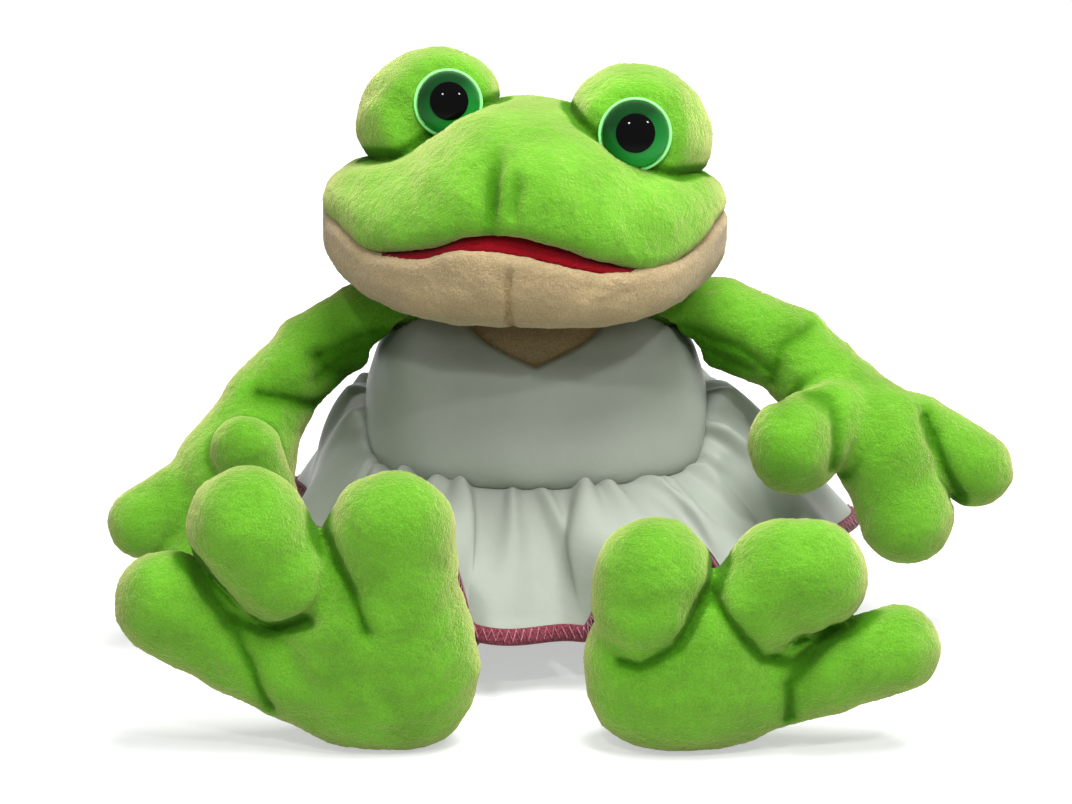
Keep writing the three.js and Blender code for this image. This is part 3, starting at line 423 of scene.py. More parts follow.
def crease_depth(p, creases):
    """Depth of creases pressed in from the front: the sum of depth * exp(-(d / width)^1.3), where d is the distance to
    a crease's line seen from the front, at places further forward than the crease starts."""
    flat, total = p[:, [0, 2]], 0
    for line, depth, width, front in creases:
        line, least = np.array(line, float), None
        for a, b in zip(line, line[1:]):
            run = b - a
            share = np.clip((flat - a) @ run / (run @ run), 0, 1)
            off = ((flat - a - share[:, None] * run) ** 2).sum(-1)
            least = off if least is None else np.minimum(least, off)
        total = total + depth * np.exp(-((np.sqrt(least) / width) ** 1.3)) * past(-p[:, 1], front, CREASE_FADE)
    return total


def turn_off(turn, place):
    """Turn away from a place, between half a turn back and half a turn on."""
    return (turn - place + math.pi) % (2 * math.pi) - math.pi


def waves(p, length, seed, count=18):
    """Soft noise between about -1 and 1: the mean of sines along random directions, times the root of count."""
    random = np.random.default_rng(seed)
    directions = unit(random.normal(size=(count, 3)))
    rates = 2 * math.pi / (length * random.uniform(0.7, 1.4, count))
    phases = random.uniform(0, 2 * math.pi, count)
    return np.sin(p @ directions.T * rates + phases).sum(-1) / math.sqrt(count)


# Meshes from fields and grids
def surface_net(field, low, high, cell=CELL):
    """Closed mesh where a field is 0: each cell that the surface crosses holds one point, the mean of the crossings
    on its edges, and each crossed edge is circled by the four points round it. The points then slide onto the
    surface along its slope."""
    low, high = np.asarray(low, float), np.asarray(high, float)
    count = np.ceil((high - low) / cell).astype(int) + 1
    axes = [low[i] + cell * np.arange(count[i]) for i in range(3)]
    nodes = np.stack(np.meshgrid(*axes, indexing="ij"), -1)
    value = field(nodes.reshape(-1, 3)).reshape(count)
    total, hits = np.zeros((count.prod(), 3)), np.zeros(count.prod())
    rings = []
    stride = np.array([count[1] * count[2], count[2], 1])
    for axis in range(3):
        b, c = (axis + 1) % 3, (axis + 2) % 3
        first = np.take(value, range(count[axis] - 1), axis)
        second = np.take(value, range(1, count[axis]), axis)
        edge = np.argwhere((first < 0) != (second < 0))
        v0 = first[tuple(edge.T)]
        v1 = second[tuple(edge.T)]
        place = low + cell * edge
        place[:, axis] += cell * v0 / (v0 - v1)
        here = edge @ stride
        corners = [here, here - stride[b], here - stride[b] - stride[c], here - stride[c]]
        for cells in corners:
            for i in range(3):
                total[:, i] += np.bincount(cells, place[:, i], count.prod())
            hits += np.bincount(cells, minlength=count.prod())
        ring = np.stack(corners, -1)
        rings.append(np.where((v0 < 0)[:, None], ring, ring[:, ::-1]))
    used = np.flatnonzero(hits)
    number = np.full(count.prod(), -1)
    number[used] = np.arange(len(used))
    points = total[used] / hits[used, None]
    for _ in range(3):
        points -= slope_step(field, points, cell)
    return points, number[np.concatenate(rings)]


def slope(field, points, step=0.4):
    """Slope of a field at points, from differences over a step each way."""
    parts = []
    for axis in range(3):
        move = np.zeros(3)
        move[axis] = step
        parts.append((field(points + move) - field(points - move)) / (2 * step))
    return np.stack(parts, -1)


def slope_step(field, points, most):
    """Step from points to the surface: value times slope over slope squared, no longer than most."""
    lean = slope(field, points)
    step = field(points)[:, None] * lean / np.maximum((lean**2).sum(-1, keepdims=True), 1e-3)
    length = np.linalg.norm(step, axis=-1, keepdims=True)
    return step * np.minimum(1, most / np.maximum(length, 1e-9))


def plush_relief(points, outward, seed, stuffing=0.55, nap=0.16):
    """Points moved along their outward direction by slow lumps of stuffing and by the ends of the pile."""
    lumps = 0.6 * waves(points, LUMP_LENGTH, seed) + 0.4 * waves(points, SMALL_LUMP_LENGTH, seed + 1)
    ends = 0.5 * waves(points, NAP_LENGTH, seed + 2, 24) + np.random.default_rng(seed).normal(size=len(points)) * 0.5
    return points + outward * (stuffing * lumps + nap * ends)[:, None]


def swept_volume(points, faces):
    """Volume inside faces, from tetrahedra to the origin: positive where they face outward."""
    total = 0.0
    for group in faces:
        for k in range(1, group.shape[1] - 1):
            a, b, c = points[group[:, 0]], points[group[:, k]], points[group[:, k + 1]]
            total += (a * np.cross(b, c)).sum() / 6
    return total


def mesh_piece(name, points, faces, body, slot, material, replaces=()):
    """Smooth shaded object from points in mm and groups of faces, turned to face outward, riding on a body."""
    faces = [np.asarray(group) for group in (faces if isinstance(faces, list) else [faces])]
    used, number = np.unique(np.concatenate([group.ravel() for group in faces]), return_inverse=True)
    points, start = np.asarray(points, float)[used], 0
    for i, group in enumerate(faces):
        faces[i] = number[start : start + group.size].reshape(group.shape)
        start += group.size
    if swept_volume(points, faces) < 0:
        faces = [group[:, ::-1] for group in faces]
    corners = np.concatenate([group.ravel() for group in faces]).astype(np.int32)
    sizes = np.concatenate([np.full(len(group), group.shape[1]) for group in faces])
    mesh = bpy.data.meshes.new(name)
    mesh.vertices.add(len(points))
    mesh.vertices.foreach_set("co", (points * MM).astype(np.float32).ravel())
    mesh.loops.add(len(corners))
    mesh.loops.foreach_set("vertex_index", corners)
    mesh.polygons.add(len(sizes))
    mesh.polygons.foreach_set("loop_start", (np.cumsum(sizes) - sizes).astype(np.int32))
    mesh.update(calc_edges=True)
    mesh.shade_smooth()
    mesh.materials.append(material)
    piece = bpy.data.objects.new(name.replace(" ", "_"), mesh)
    bpy.context.scene.collection.objects.link(piece)
    if body:
        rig.ride(piece, body)
    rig.slot(piece, slot)
    if replaces:
        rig.replaces(piece, *replaces)
    return piece


def store(piece, name, values):
    """Keeps a value for each point of a piece, for its material to read."""
    piece.data.attributes.new(name, "FLOAT", "POINT").data.foreach_set("value", values.astype(np.float32))


def plush_piece(name, field, low, high, body, slot, material, replaces, seed, folds=None, **relief):
    """Padded piece of plush over a field. Its stored painted shade is 1 less the rise of the field over a short way
    outward, or a share of the depth of its folds, which for the arms holds the armpits' painted shade too, so it is
    high where the pile lies in its own shade, and the material paints shade there."""
    points, faces = surface_net(field, low, high)
    lean = slope(field, points)
    outward = unit(lean)
    rise = field(points + outward * HOLLOW_REACH) / np.linalg.norm(lean, axis=-1) / HOLLOW_REACH
    painted_shade = np.clip((HOLLOW_FULL - rise) / HOLLOW_RANGE, 0, 1)
    if folds:
        painted_shade = np.maximum(painted_shade, np.clip(folds(points) / FOLD_SHADE, 0, 1))
    points = plush_relief(points, outward, seed, **relief)
    piece = mesh_piece(name, points, faces, body, slot, material, replaces)
    store(piece, "painted_shade", painted_shade)
    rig.padded(piece, fill=0.8)
    return piece


def grid_faces(rows, columns, wrap_rows, wrap_columns=False):
    """Four corners of each square of a grid of points, row by row."""
    i = np.arange(rows if wrap_rows else rows - 1)
    j = np.arange(columns if wrap_columns else columns - 1)
    i, j = np.meshgrid(i, j, indexing="ij")
    i1, j1 = (i + 1) % rows, (j + 1) % columns
    corners = [i * columns + j, i1 * columns + j, i1 * columns + j1, i * columns + j1]
    return np.stack(corners, -1).reshape(-1, 4)


def round_grid(around, rows):
    """Grids of turns from the front, once round, and of shares from 0 to 1."""
    return np.meshgrid(2 * math.pi * np.arange(around) / around, np.linspace(0, 1, rows), indexing="ij")


def flat_grid(columns, low, high, rows):
    """Grids of places across, from -1 to 1, and of heights from low to high."""
    return np.meshgrid(np.linspace(-1, 1, columns), np.linspace(low, high, rows), indexing="ij")


def tube(path, radius_across, radius_through, across, sides):
    """Points and faces of a tube round a closed path: an oval section spanned by across and its square to the path."""
    along = unit(np.roll(path, -1, 0) - np.roll(path, 1, 0))
    across = unit(across - (across * along).sum(-1, keepdims=True) * along)
    through = np.cross(along, across)
    turn = 2 * math.pi * np.arange(sides) / sides
    points = path[:, None] + np.cos(turn)[None, :, None] * (across * radius_across)[:, None]
    points = points + np.sin(turn)[None, :, None] * (through * radius_through)[:, None]
    return points.reshape(-1, 3), grid_faces(len(path), sides, True, True)


def grid_normals(points):
    """Unit normals of a grid of points that closes on itself, from the differences between its neighbours."""
    along = np.roll(points, -1, 0) - np.roll(points, 1, 0)
    return unit(np.cross(np.gradient(points, axis=1), along))


def cloth_shell(outer, inner, wrap, keep=None):
    """Closed cloth from two grids that face each other: the squares kept, and a rim along their free edges."""
    count = outer.shape[0] * outer.shape[1]
    points = np.concatenate([outer.reshape(-1, 3), inner.reshape(-1, 3)])
    squares = grid_faces(outer.shape[0], outer.shape[1], wrap)
    if keep is not None:
        squares = squares[keep(points[squares].mean(1))]
    edges = np.stack([squares, np.roll(squares, -1, 1)], -1).reshape(-1, 2)
    lone = edges[~np.isin(edges @ [count, 1], edges @ [1, count])]
    rim = np.stack([lone[:, 1], lone[:, 0], lone[:, 0] + count, lone[:, 1] + count], -1)
    return points, [squares, squares[:, ::-1] + count, rim]


def lathe(profile, centre, axis, sides=96):
    """Closed round solid: rings at (radius, height along axis), and a point at each end, where the radius is 0."""
    profile = np.asarray(profile, float)
    across = unit(np.cross(axis, UP if abs(axis[2]) < 0.9 else FRONT))
    turn = 2 * math.pi * np.arange(sides) / sides
    round_way = np.cos(turn)[:, None] * across + np.sin(turn)[:, None] * np.cross(axis, across)
    rings = centre + profile[1:-1, 1, None, None] * axis + profile[1:-1, 0, None, None] * round_way
    points = np.concatenate([rings.reshape(-1, 3), centre + profile[[0, -1], 1, None] * axis])
    squares = grid_faces(len(profile) - 2, sides, False, True)
    number = np.arange(sides)
    last = (len(profile) - 3) * sides
    first_fan = np.stack([number, np.roll(number, -1), np.full(sides, len(points) - 2)], -1)
    last_fan = np.stack([last + np.roll(number, -1), last + number, np.full(sides, len(points) - 1)], -1)
    return points, [squares, np.concatenate([first_fan, last_fan])]


# Materials, with the number of patches of each pattern to a metre
PATCHES, TUFTS, PILE = 55, 420, 1500
CREASES, WEAVE, STRANDS = 150, 2600, 1300


def material(name, colour, roughness, **inputs):
    """Principled material, with its node tree, its nodes and its shader."""
    made = bpy.data.materials.new(name)
    made.use_nodes = True
    made.diffuse_color = (*colour, 1)
    tree = made.node_tree
    bsdf = tree.nodes["Principled BSDF"]
    bsdf.inputs["Base Color"].default_value = (*colour, 1)
    bsdf.inputs["Roughness"].default_value = roughness
    for key, value in inputs.items():
        bsdf.inputs[key.replace("_", " ")].default_value = value
    return made, tree, bsdf


def node(tree, kind, **values):
    """New node, with its properties and its inputs set."""
    made = tree.nodes.new(kind)
    for key, value in values.items():
        if hasattr(made, key):
            setattr(made, key, value)
        else:
            made.inputs[key.replace("_", " ")].default_value = value
    return made


def noise(tree, scale, detail, rough=0.5, stretch=(1, 1, 1)):
    """Factor output of a noise over object coordinates, scale patches to a metre."""
    where = node(tree, "ShaderNodeTexCoord")
    place = node(tree, "ShaderNodeMapping", Scale=stretch)
    made = node(tree, "ShaderNodeTexNoise", Scale=scale, Detail=detail, Roughness=rough)
    tree.links.new(where.outputs["Object"], place.inputs["Vector"])
    tree.links.new(place.outputs["Vector"], made.inputs["Vector"])
    return made.outputs["Fac"]


def ramp(tree, factor, stops):
    """Colours mixed by a factor, from stops of place and colour."""
    made = node(tree, "ShaderNodeValToRGB")
    ends = made.color_ramp.elements
    while len(ends) < len(stops):
        ends.new(0.5)
    for end, (place, colour) in zip(ends, stops):
        end.position, end.color = place, (*colour, 1)
    tree.links.new(factor, made.inputs["Fac"])
    return made.outputs["Color"]


def bump(tree, bsdf, layers):
    """Bump from several factors, each with a depth in mm."""
    normal = None
    for factor, depth in layers:
        made = node(tree, "ShaderNodeBump", Strength=1.0, Distance=depth * MM)
        tree.links.new(factor, made.inputs["Height"])
        if normal is not None:
            tree.links.new(normal, made.inputs["Normal"])
        normal = made.outputs["Normal"]
    tree.links.new(normal, bsdf.inputs["Normal"])


def scaled(colour, share):
    """Colour times a share."""
    return tuple(min(1.0, c * share) for c in colour)


def between(tree, factor, low, high, start=0.0, stop=1.0):
    """Value from low to high as a factor goes from start to stop."""
    made = node(tree, "ShaderNodeMapRange", From_Min=start, From_Max=stop, To_Min=low, To_Max=high)
    tree.links.new(factor, made.inputs["Value"])
    return made.outputs["Result"]


def multiplied(tree, a, b, factor):
    """Colour a times colour b, mixed with a by a factor."""
    made = node(tree, "ShaderNodeMix", data_type="RGBA", blend_type="MULTIPLY")
    made.inputs["Factor"].default_value = factor
    tree.links.new(a, made.inputs["A"])
    tree.links.new(b, made.inputs["B"])
    return made.outputs["Result"]


def plush(name, colour, tint, sheen=0.35, mottle=1.0, crease=(0.4, 0.5, 0.3)):
    """Short pile: patches where the pile lies another way, a fine nap with painted shade where it is low, a soft sheen,
    and painted shade in creases, where the colour darkens and the sheen fades.
    """
    lighter, darker = scaled(colour, 1 + 0.16 * mottle), scaled(colour, 1 - 0.18 * mottle)
    made, tree, bsdf = material(name, colour, 0.95, Sheen_Weight=sheen, Sheen_Roughness=0.45, Specular_IOR_Level=0.08)
    bsdf.inputs["Sheen Tint"].default_value = (*tint, 1)
    tone = ramp(tree, noise(tree, PATCHES, 3, 0.55), [(0.3, darker), (0.5, colour), (0.72, lighter)])
    pile = noise(tree, PILE, 3, 0.7)
    # Painted shade in the nap: darker where the same noise gives the pile's bump its low places
    nap_shade = ramp(tree, pile, [(0.32, (0.62, 0.62, 0.6)), (0.62, (1.0, 1.0, 1.0))])
    # Painted shade: the colour is multiplied towards the crease colour as the stored painted shade rises
    painted_shade = node(tree, "ShaderNodeAttribute", attribute_name="painted_shade").outputs["Fac"]
    shade = ramp(tree, painted_shade, [(0.0, (1, 1, 1)), (0.85, crease)])
    tree.links.new(multiplied(tree, multiplied(tree, tone, nap_shade, 0.8), shade, 1.0), bsdf.inputs["Base Color"])
    # Painted shade: the sheen fades to a tenth in creases
    tree.links.new(between(tree, painted_shade, sheen, sheen * 0.1, 0.0, 0.6), bsdf.inputs["Sheen Weight"])
    bump(tree, bsdf, [(pile, 0.55), (noise(tree, TUFTS, 2, 0.6), 0.5)])
    return made


def satin(name, colour):
    """Smooth woven cloth: a fine weave, slight creases and a broad soft shine."""
    made, tree, bsdf = material(name, colour, 0.4, Sheen_Weight=0.15, Sheen_Roughness=0.3, Specular_IOR_Level=0.5)
    tone = ramp(tree, noise(tree, 40, 3), [(0.3, scaled(colour, 0.93)), (0.7, scaled(colour, 1.04))])
    tree.links.new(tone, bsdf.inputs["Base Color"])
    weave = noise(tree, WEAVE, 1, 0.5, (1, 1, 3))
    bump(tree, bsdf, [(weave, 0.06), (noise(tree, CREASES, 3, 0.5), 0.25)])
    return made


def threads(name, colour, dark):
    """Thick thread: fine strands, with painted shade in the gaps between them, where the bump is low."""
    made, tree, bsdf = material(name, colour, 0.7, Sheen_Weight=0.3, Specular_IOR_Level=0.25)
    strands = noise(tree, STRANDS, 2, 0.6)
    tree.links.new(ramp(tree, strands, [(0.35, dark), (0.6, colour)]), bsdf.inputs["Base Color"])
    bump(tree, bsdf, [(strands, 0.4)])
    return made


def iris(name, stops):
    """Clear plastic over a painted iris, and a gloss; the colours follow the stored shade, which runs up the eye as
    painted light and shade, lighter low down and darker high up.
    """
    made, tree, bsdf = material(name, stops[1][1], 0.05, Specular_IOR_Level=0.1)
    shade = node(tree, "ShaderNodeAttribute", attribute_name="shade")
    tree.links.new(ramp(tree, shade.outputs["Fac"], stops), bsdf.inputs["Base Color"])
    return made


def plastic(name, colour, roughness, shine=0.5):
    """Moulded plastic, with faint variation and a gloss."""
    made, tree, bsdf = material(name, colour, roughness, Specular_IOR_Level=shine)
    tone = ramp(tree, noise(tree, 260, 2), [(0.3, scaled(colour, 0.9)), (0.7, scaled(colour, 1.08))])
    tree.links.new(tone, bsdf.inputs["Base Color"])
    return made


# The last colour that a plush takes, or its default, is the painted shade of its creases
GREEN = plush("green plush", (0.13, 0.415, 0.021), (1.0, 0.84, 0.42), 1.0)
BEIGE = plush("beige plush", (0.46, 0.345, 0.19), (1.0, 0.88, 0.7), 0.6, 0.4, (0.6, 0.5, 0.4))
SATIN = satin("white satin", (0.325, 0.354, 0.305))
# The second colour of each thread is the painted shade in the gaps between its strands
HEM_THREAD = threads("maroon thread", (0.22, 0.034, 0.058), (0.07, 0.008, 0.016))
ZIGZAG_THREAD = threads("pink thread", (0.5, 0.2, 0.24), (0.25, 0.07, 0.09))
LINING = plush("red lining", (0.24, 0.003, 0.008), (1.0, 0.4, 0.4), 0.1)
# Painted light and shade of the iris: light green low on the eye, near black high up
IRIS = iris("green iris", [(0.0, (0.02, 0.36, 0.06)), (0.4, (0.006, 0.15, 0.02)), (0.78, (0.002, 0.035, 0.006))])
PUPIL = plastic("black pupil", (0.001, 0.001, 0.001), 0.04, 0.06)
RING = plastic("pale green ring", (0.26, 0.82, 0.25), 0.3)
NYLON = plastic("nylon washer", (0.75, 0.75, 0.7), 0.4)
WADDING = plush("stuffing", (0.8, 0.8, 0.78), (1, 1, 1))
BEADS = plastic("pellets", (0.6, 0.6, 0.55), 0.4)


# Torso and dress
def torso_table():
    """Heights, the torso's width share at each, and how fast it grows there: the profile, which falls evenly below 0
    past the top, averaged over a few heights so that it has no corners."""
    heights = np.arange(-20, 160, TORSO_STEP)
    shares = np.interp(heights / TORSO_HEIGHT, *zip(*TORSO_PROFILE))
    top = heights > TORSO_HEIGHT
    shares[top] = TORSO_PAST_TOP * (heights[top] - TORSO_HEIGHT)
    window = np.hanning(TORSO_SMOOTHING)
    smooth = np.convolve(shares, window / window.sum(), "same")
    return heights, smooth, np.gradient(smooth, heights)


TORSO_Z, TORSO_SHARE, TORSO_LEAN = torso_table()


def torso_field(p):
    """Distance to the torso: its oval reach less its width share at that height, over the slope of that, which is
    held off 0 near the middle."""
    reach = np.hypot(p[:, 0] / TORSO_HALF_WIDTH, p[:, 1] / TORSO_HALF_DEPTH)
    side = np.hypot(p[:, 0] / TORSO_HALF_WIDTH**2, p[:, 1] / TORSO_HALF_DEPTH**2) / np.maximum(reach, 0.05)
    lean = np.interp(p[:, 2], TORSO_Z, TORSO_LEAN)
    return (reach - np.interp(p[:, 2], TORSO_Z, TORSO_SHARE)) / np.hypot(np.maximum(side, 1 / 80), lean)


def torso_point(turn, height, off):
    """Point on the torso at a turn from the front and a height, moved out by off along the surface's normal."""
    share = np.interp(height, TORSO_Z, TORSO_SHARE)
    lean = np.interp(height, TORSO_Z, TORSO_LEAN)
    point = at(TORSO_HALF_WIDTH * share * np.sin(turn), TORSO_HALF_DEPTH * share * np.cos(turn), height)
    out = unit(at(np.sin(turn) / TORSO_HALF_WIDTH, np.cos(turn) / TORSO_HALF_DEPTH, -lean))
    return point + np.asarray(off)[..., None] * out


def waist_height(turn):
    """Height of the waist seam, low in front where the belly pushes it down."""
    front = WAIST_SIDE + (WAIST_FRONT - WAIST_SIDE) * ease(np.cos(turn) / WAIST_DIP)
    return np.where(np.cos(turn) > 0, front, WAIST_SIDE + (WAIST_BACK - WAIST_SIDE) * np.cos(turn) ** 2)


def neckline_height(turn):
    """Height of the neckline: a V in front, shallow at the back."""
    low = np.where(np.cos(turn) > 0, NECKLINE_FRONT, NECKLINE_BACK)
    return low + (NECKLINE_SIDE - low) * np.minimum(1, np.abs(np.sin(turn)) / NECKLINE_SLOPE)


def leg_cover(x):
    """Share of a skirt point that lies over a leg: the sum over the legs of exp(-off^6), where off is the distance
    sideways from the leg's middle below the hem, divided by half the leg's width and the room past that side."""
    total = 0
    for side, o in SIDES.items():
        off = o * x - HIP_OUT - (HEM_FRONT_DEPTH - HIP_FRONT) * LEG_LEAN[side]
        off = off / (LEG_HALF + np.where(off > 0, HEM_OUTSIDE_ROOM[side], HEM_INSIDE_ROOM))
        total = total + np.exp(-(off**6))
    return total


def gathers(turn, share):
    """Small folds that start at the waist seam: each a ridge exp(-(off / width)^2) round its own turn, which rises
    within the first few mm, runs down over its own length and widens as it goes. Under them the cloth swells below
    the seam, most at the sides."""
    random = np.random.default_rng(7)
    total = np.zeros(np.broadcast(turn, share).shape)
    for place in np.linspace(0, 2 * math.pi, GATHER_COUNT, endpoint=False):
        shift, drift = random.uniform(-GATHER_SHIFT, GATHER_SHIFT), random.uniform(-GATHER_DRIFT, GATHER_DRIFT)
        place = place + shift + drift * share
        run, depth = random.uniform(*GATHER_RUN), random.uniform(*GATHER_DEPTH)
        width = random.uniform(*GATHER_WIDTH) + GATHER_SPREAD * share
        ridge = np.exp(-((np.abs(turn_off(turn, place)) / width) ** 2))
        start = np.clip(share / GATHER_START, 0, 1) ** 0.6
        total = total + depth * ridge * start * np.clip(1 - share / run, 0, 1) ** 0.8
    swell = (SKIRT_SWELL + SKIRT_SIDE_SWELL * np.sin(turn) ** 2) * (1 - np.exp(-share / SKIRT_SWELL_START))
    return total + swell * np.exp(-share / SKIRT_SWELL_RUN)


def skirt_point(turn, share):
    """Middle of the skirt's cloth: from the waist seam out to the hem as share^0.85 and down as share^1.2, with
    even folds that grow towards the hem as share^0.7, a few broad sways, and the hem lifted over the legs."""
    waist = torso_point(turn, waist_height(turn), SKIRT_OFF)
    fold = -FOLD_DEPTH * np.cos(FOLD_COUNT * turn) * share**0.7
    front = np.cos(turn) > 0
    for place, out, width in HEM_SWAY:
        fold = fold + out * np.exp(-((turn_off(turn, place) / width) ** 2))
    x = HEM_SHIFT + (HEM_HALF_WIDTH + fold) * np.sin(turn)
    depth = (np.where(front, HEM_FRONT_DEPTH, HEM_BACK_DEPTH) + fold) * np.cos(turn)
    side = np.where(np.sin(turn) > 0, HEM_LEFT, HEM_RIGHT)
    low = np.where(front, HEM_FRONT, HEM_BACK)
    hem = side + (low - side) * np.cos(turn) ** 2
    over = HEM_SHIFT + HEM_HALF_WIDTH * np.sin(turn)
    hem = hem + np.where(front, np.maximum(0, HEM_OVER_LEG - hem) * leg_cover(over), 0)
    out, drop = share**0.85, share**1.2
    height = waist[..., 2] + (hem - waist[..., 2]) * drop
    return at(waist[..., 0] + (x - waist[..., 0]) * out, -waist[..., 1] + (depth + waist[..., 1]) * out, height)


def round_steps(path):
    """Length of each step round a closed path."""
    return np.linalg.norm(np.roll(path, -1, 0) - path, axis=-1)


def square_areas(points):
    """Area of each square of a grid of points: the cross product of its first two sides."""
    along, down = np.diff(points, axis=0), np.diff(points, axis=1)
    return np.linalg.norm(np.cross(along[:, :-1], down[:-1]), axis=-1)


turns, shares = round_grid(SKIRT_AROUND, SKIRT_ROWS)
skirt_middle = skirt_point(turns, shares)
skirt_middle = skirt_middle + grid_normals(skirt_middle) * gathers(turns, shares)[..., None]
skirt_out = grid_normals(skirt_middle)
half_cloth = skirt_out * SKIRT_CLOTH / 2
points, faces = cloth_shell(skirt_middle + half_cloth, skirt_middle - half_cloth, True)
skirt = mesh_piece("gathered skirt", points, faces, "torso", "white_satin", SATIN, ("dress_skirt",))

hem_line = skirt_middle[:, -1]
hem_length = round_steps(hem_line).sum()
drop_length = np.linalg.norm(np.diff(skirt_middle, axis=1), axis=-1).sum(1).mean()
skirt_area = square_areas(np.concatenate([skirt_middle, skirt_middle[:1]])).sum()

down_way = unit(skirt_middle[:, -1] - skirt_middle[:, -3])
band_path = hem_line - down_way * OVERLOCK_INSET
points, faces = tube(band_path, OVERLOCK_WIDTH / 2, OVERLOCK_THICKNESS / 2, down_way, sides=12)
hem = mesh_piece("overlocked hem", points, faces, "torso", "maroon_thread", HEM_THREAD, ("skirt_hem",))
stitches = int(hem_length / STITCH_PITCH) * 2
walk = np.concatenate([[0], np.cumsum(round_steps(band_path))])
marks = np.linspace(0, walk[-1], stitches + 1)[:-1]


def along_hem(values):
    """Values round the hem, taken at the stitches."""
    closed = np.concatenate([values, values[:1]])
    return np.stack([np.interp(marks, walk, closed[:, i]) for i in range(3)], -1)


out_way = along_hem(skirt_out[:, -1])
swing = np.where(np.arange(stitches) % 2 == 0, STITCH_SWING, -STITCH_SWING)[:, None]
path = along_hem(band_path) + out_way * (OVERLOCK_THICKNESS / 2 + STITCH_OFF) + along_hem(down_way) * swing
points, faces = tube(path, STITCH_RADIUS, STITCH_RADIUS, out_way, sides=6)
zigzag = mesh_piece("zigzag stitches", points, faces, "torso", "maroon_thread", ZIGZAG_THREAD)
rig.sheet(
    skirt, flat=(hem_length * MM, drop_length * MM), area=skirt_area * MM**2, held="gathered",
    rests_on=("torso_skin",), with_pieces=(hem, zigzag),
)


def bodice_swell(turn, rise):
    """How far the bodice puffs out above the waist seam: 1 - exp(-rise / start) times exp(-((rise - place) / reach)^2),
    fuller in front than at the back."""
    rising = SWELL_DEPTH * (1 - np.exp(-rise / SWELL_START)) * np.exp(-((rise - SWELL_PLACE) / SWELL_REACH) ** 2)
    return rising * (0.45 + 0.55 * np.cos(turn / 2) ** 2)


def off_armholes(centres):
    """Squares that lie outside both armholes."""
    off = [np.linalg.norm(centres - pivot(f"arm_raise_{side}"), axis=-1) > ARMHOLE_RADIUS for side in SIDES]
    return off[0] & off[1]


turns, shares = round_grid(BODICE_AROUND, BODICE_ROWS)
heights = waist_height(turns) + (neckline_height(turns) - waist_height(turns)) * shares
bodice_off = BODICE_OFF + bodice_swell(turns, heights - waist_height(turns))
bodice_outer = torso_point(turns, heights, bodice_off + BODICE_CLOTH / 2)
bodice_inner = torso_point(turns, heights, bodice_off - BODICE_CLOTH / 2)
points, faces = cloth_shell(bodice_outer, bodice_inner, True, off_armholes)
bodice = mesh_piece("white bodice", points, faces, "torso", "white_satin", SATIN, ("dress_bodice",))

plush_piece(
    "torso plush", lambda p: cut(torso_field(p), -p[:, 2], TORSO_FLOOR_EDGE), (-72, -56, -4), (72, 56, 130),
    "torso", "green_plush", GREEN, ("torso_skin",), 11, stuffing=0.3, nap=0.1,
)


def patch(name, turn, height, off, thick, *look):
    """Closed cloth patch on the torso over a grid of turns and heights, off the surface and thick, and its middle."""
    points, faces = cloth_shell(torso_point(turn, height, off + thick), torso_point(turn, height, off), False)
    return mesh_piece(name, points, faces, "torso", *look), torso_point(turn, height, off + thick / 2)


def measured(points, wrap=False, keep=None):
    """Flat size of a cloth from the middle of its grid, in metres: its mean lengths along rows and columns, and the
    area of the squares that are kept."""
    closed = np.concatenate([points, points[:1]]) if wrap else points
    area = square_areas(closed)
    if keep is not None:
        area = area * keep((closed[:-1, :-1] + closed[1:, 1:]) / 2)
    sides = (np.linalg.norm(np.diff(closed, axis=i), axis=-1).sum(i).mean() * MM for i in (0, 1))
    return {"flat": tuple(sides), "area": area.sum() * MM**2}


# The chest is round below and has a seam down its middle
across, height = flat_grid(81, CHEST_LOW, CHEST_HIGH, 60)
below = np.maximum(CHEST_ROUND_FROM - height, 0)
half = CHEST_HALF_TURN * np.sqrt(np.clip(1 - below**2 / CHEST_ROUND_DROP**2, 0.02, 1))
seam_dent = CHEST_SEAM_DEPTH * np.exp(-((across * CHEST_HALF / CHEST_SEAM_WIDTH) ** 2))
chest, middle = patch(
    "chest plush", across * half, height, CHEST_OFF - seam_dent, CHEST_CLOTH, "beige_plush", BEIGE, ("chest_panel",),
)
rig.sheet(chest, held="stretched", rests_on=("torso_skin",), **measured(middle))
across, height = flat_grid(21, STRIP_LOW, STRIP_HIGH, 40)
strip, _ = patch(
    "back fastening", math.pi - across * STRIP_HALF / STRIP_ROUND, height, BODICE_OFF + STRIP_OFF, STRIP_CLOTH,
    "white_satin", SATIN, ("dress_fastening",),
)
bodice_size = measured((bodice_outer + bodice_inner) / 2, True, off_armholes)
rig.sheet(bodice, held="stretched", rests_on=("torso_skin",), with_pieces=(strip,), **bodice_size)
turns = np.linspace(0, math.pi, 20)
barrel = [(NECK_RADIUS * math.sin(a) ** 0.4, NECK_MIDDLE - NECK_HALF_HEIGHT * math.cos(a)) for a in turns]
points, faces = lathe(barrel, np.array(NECK_PLACE), UP, sides=64)
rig.padded(mesh_piece("neck plush", points, faces, "neck", "beige_plush", BEIGE, ("neck",)), fill=0.8)


# Head
head_pivot = pivot("head_nod")
cos_yaw, sin_yaw = math.cos(HEAD_YAW), math.sin(HEAD_YAW)
cos_roll, sin_roll = math.cos(HEAD_ROLL), math.sin(HEAD_ROLL)
yaw_turn = np.array([[cos_yaw, -sin_yaw, 0], [sin_yaw, cos_yaw, 0], [0, 0, 1]])
HEAD_TURN = yaw_turn @ np.array([[cos_roll, 0, sin_roll], [0, 1, 0], [-sin_roll, 0, cos_roll]])


def to_head(p):
    """Points in the head's frame: sideways, forwards and up from the neck."""
    local = (p - head_pivot) @ HEAD_TURN
    return local[:, 0], -local[:, 1], local[:, 2]


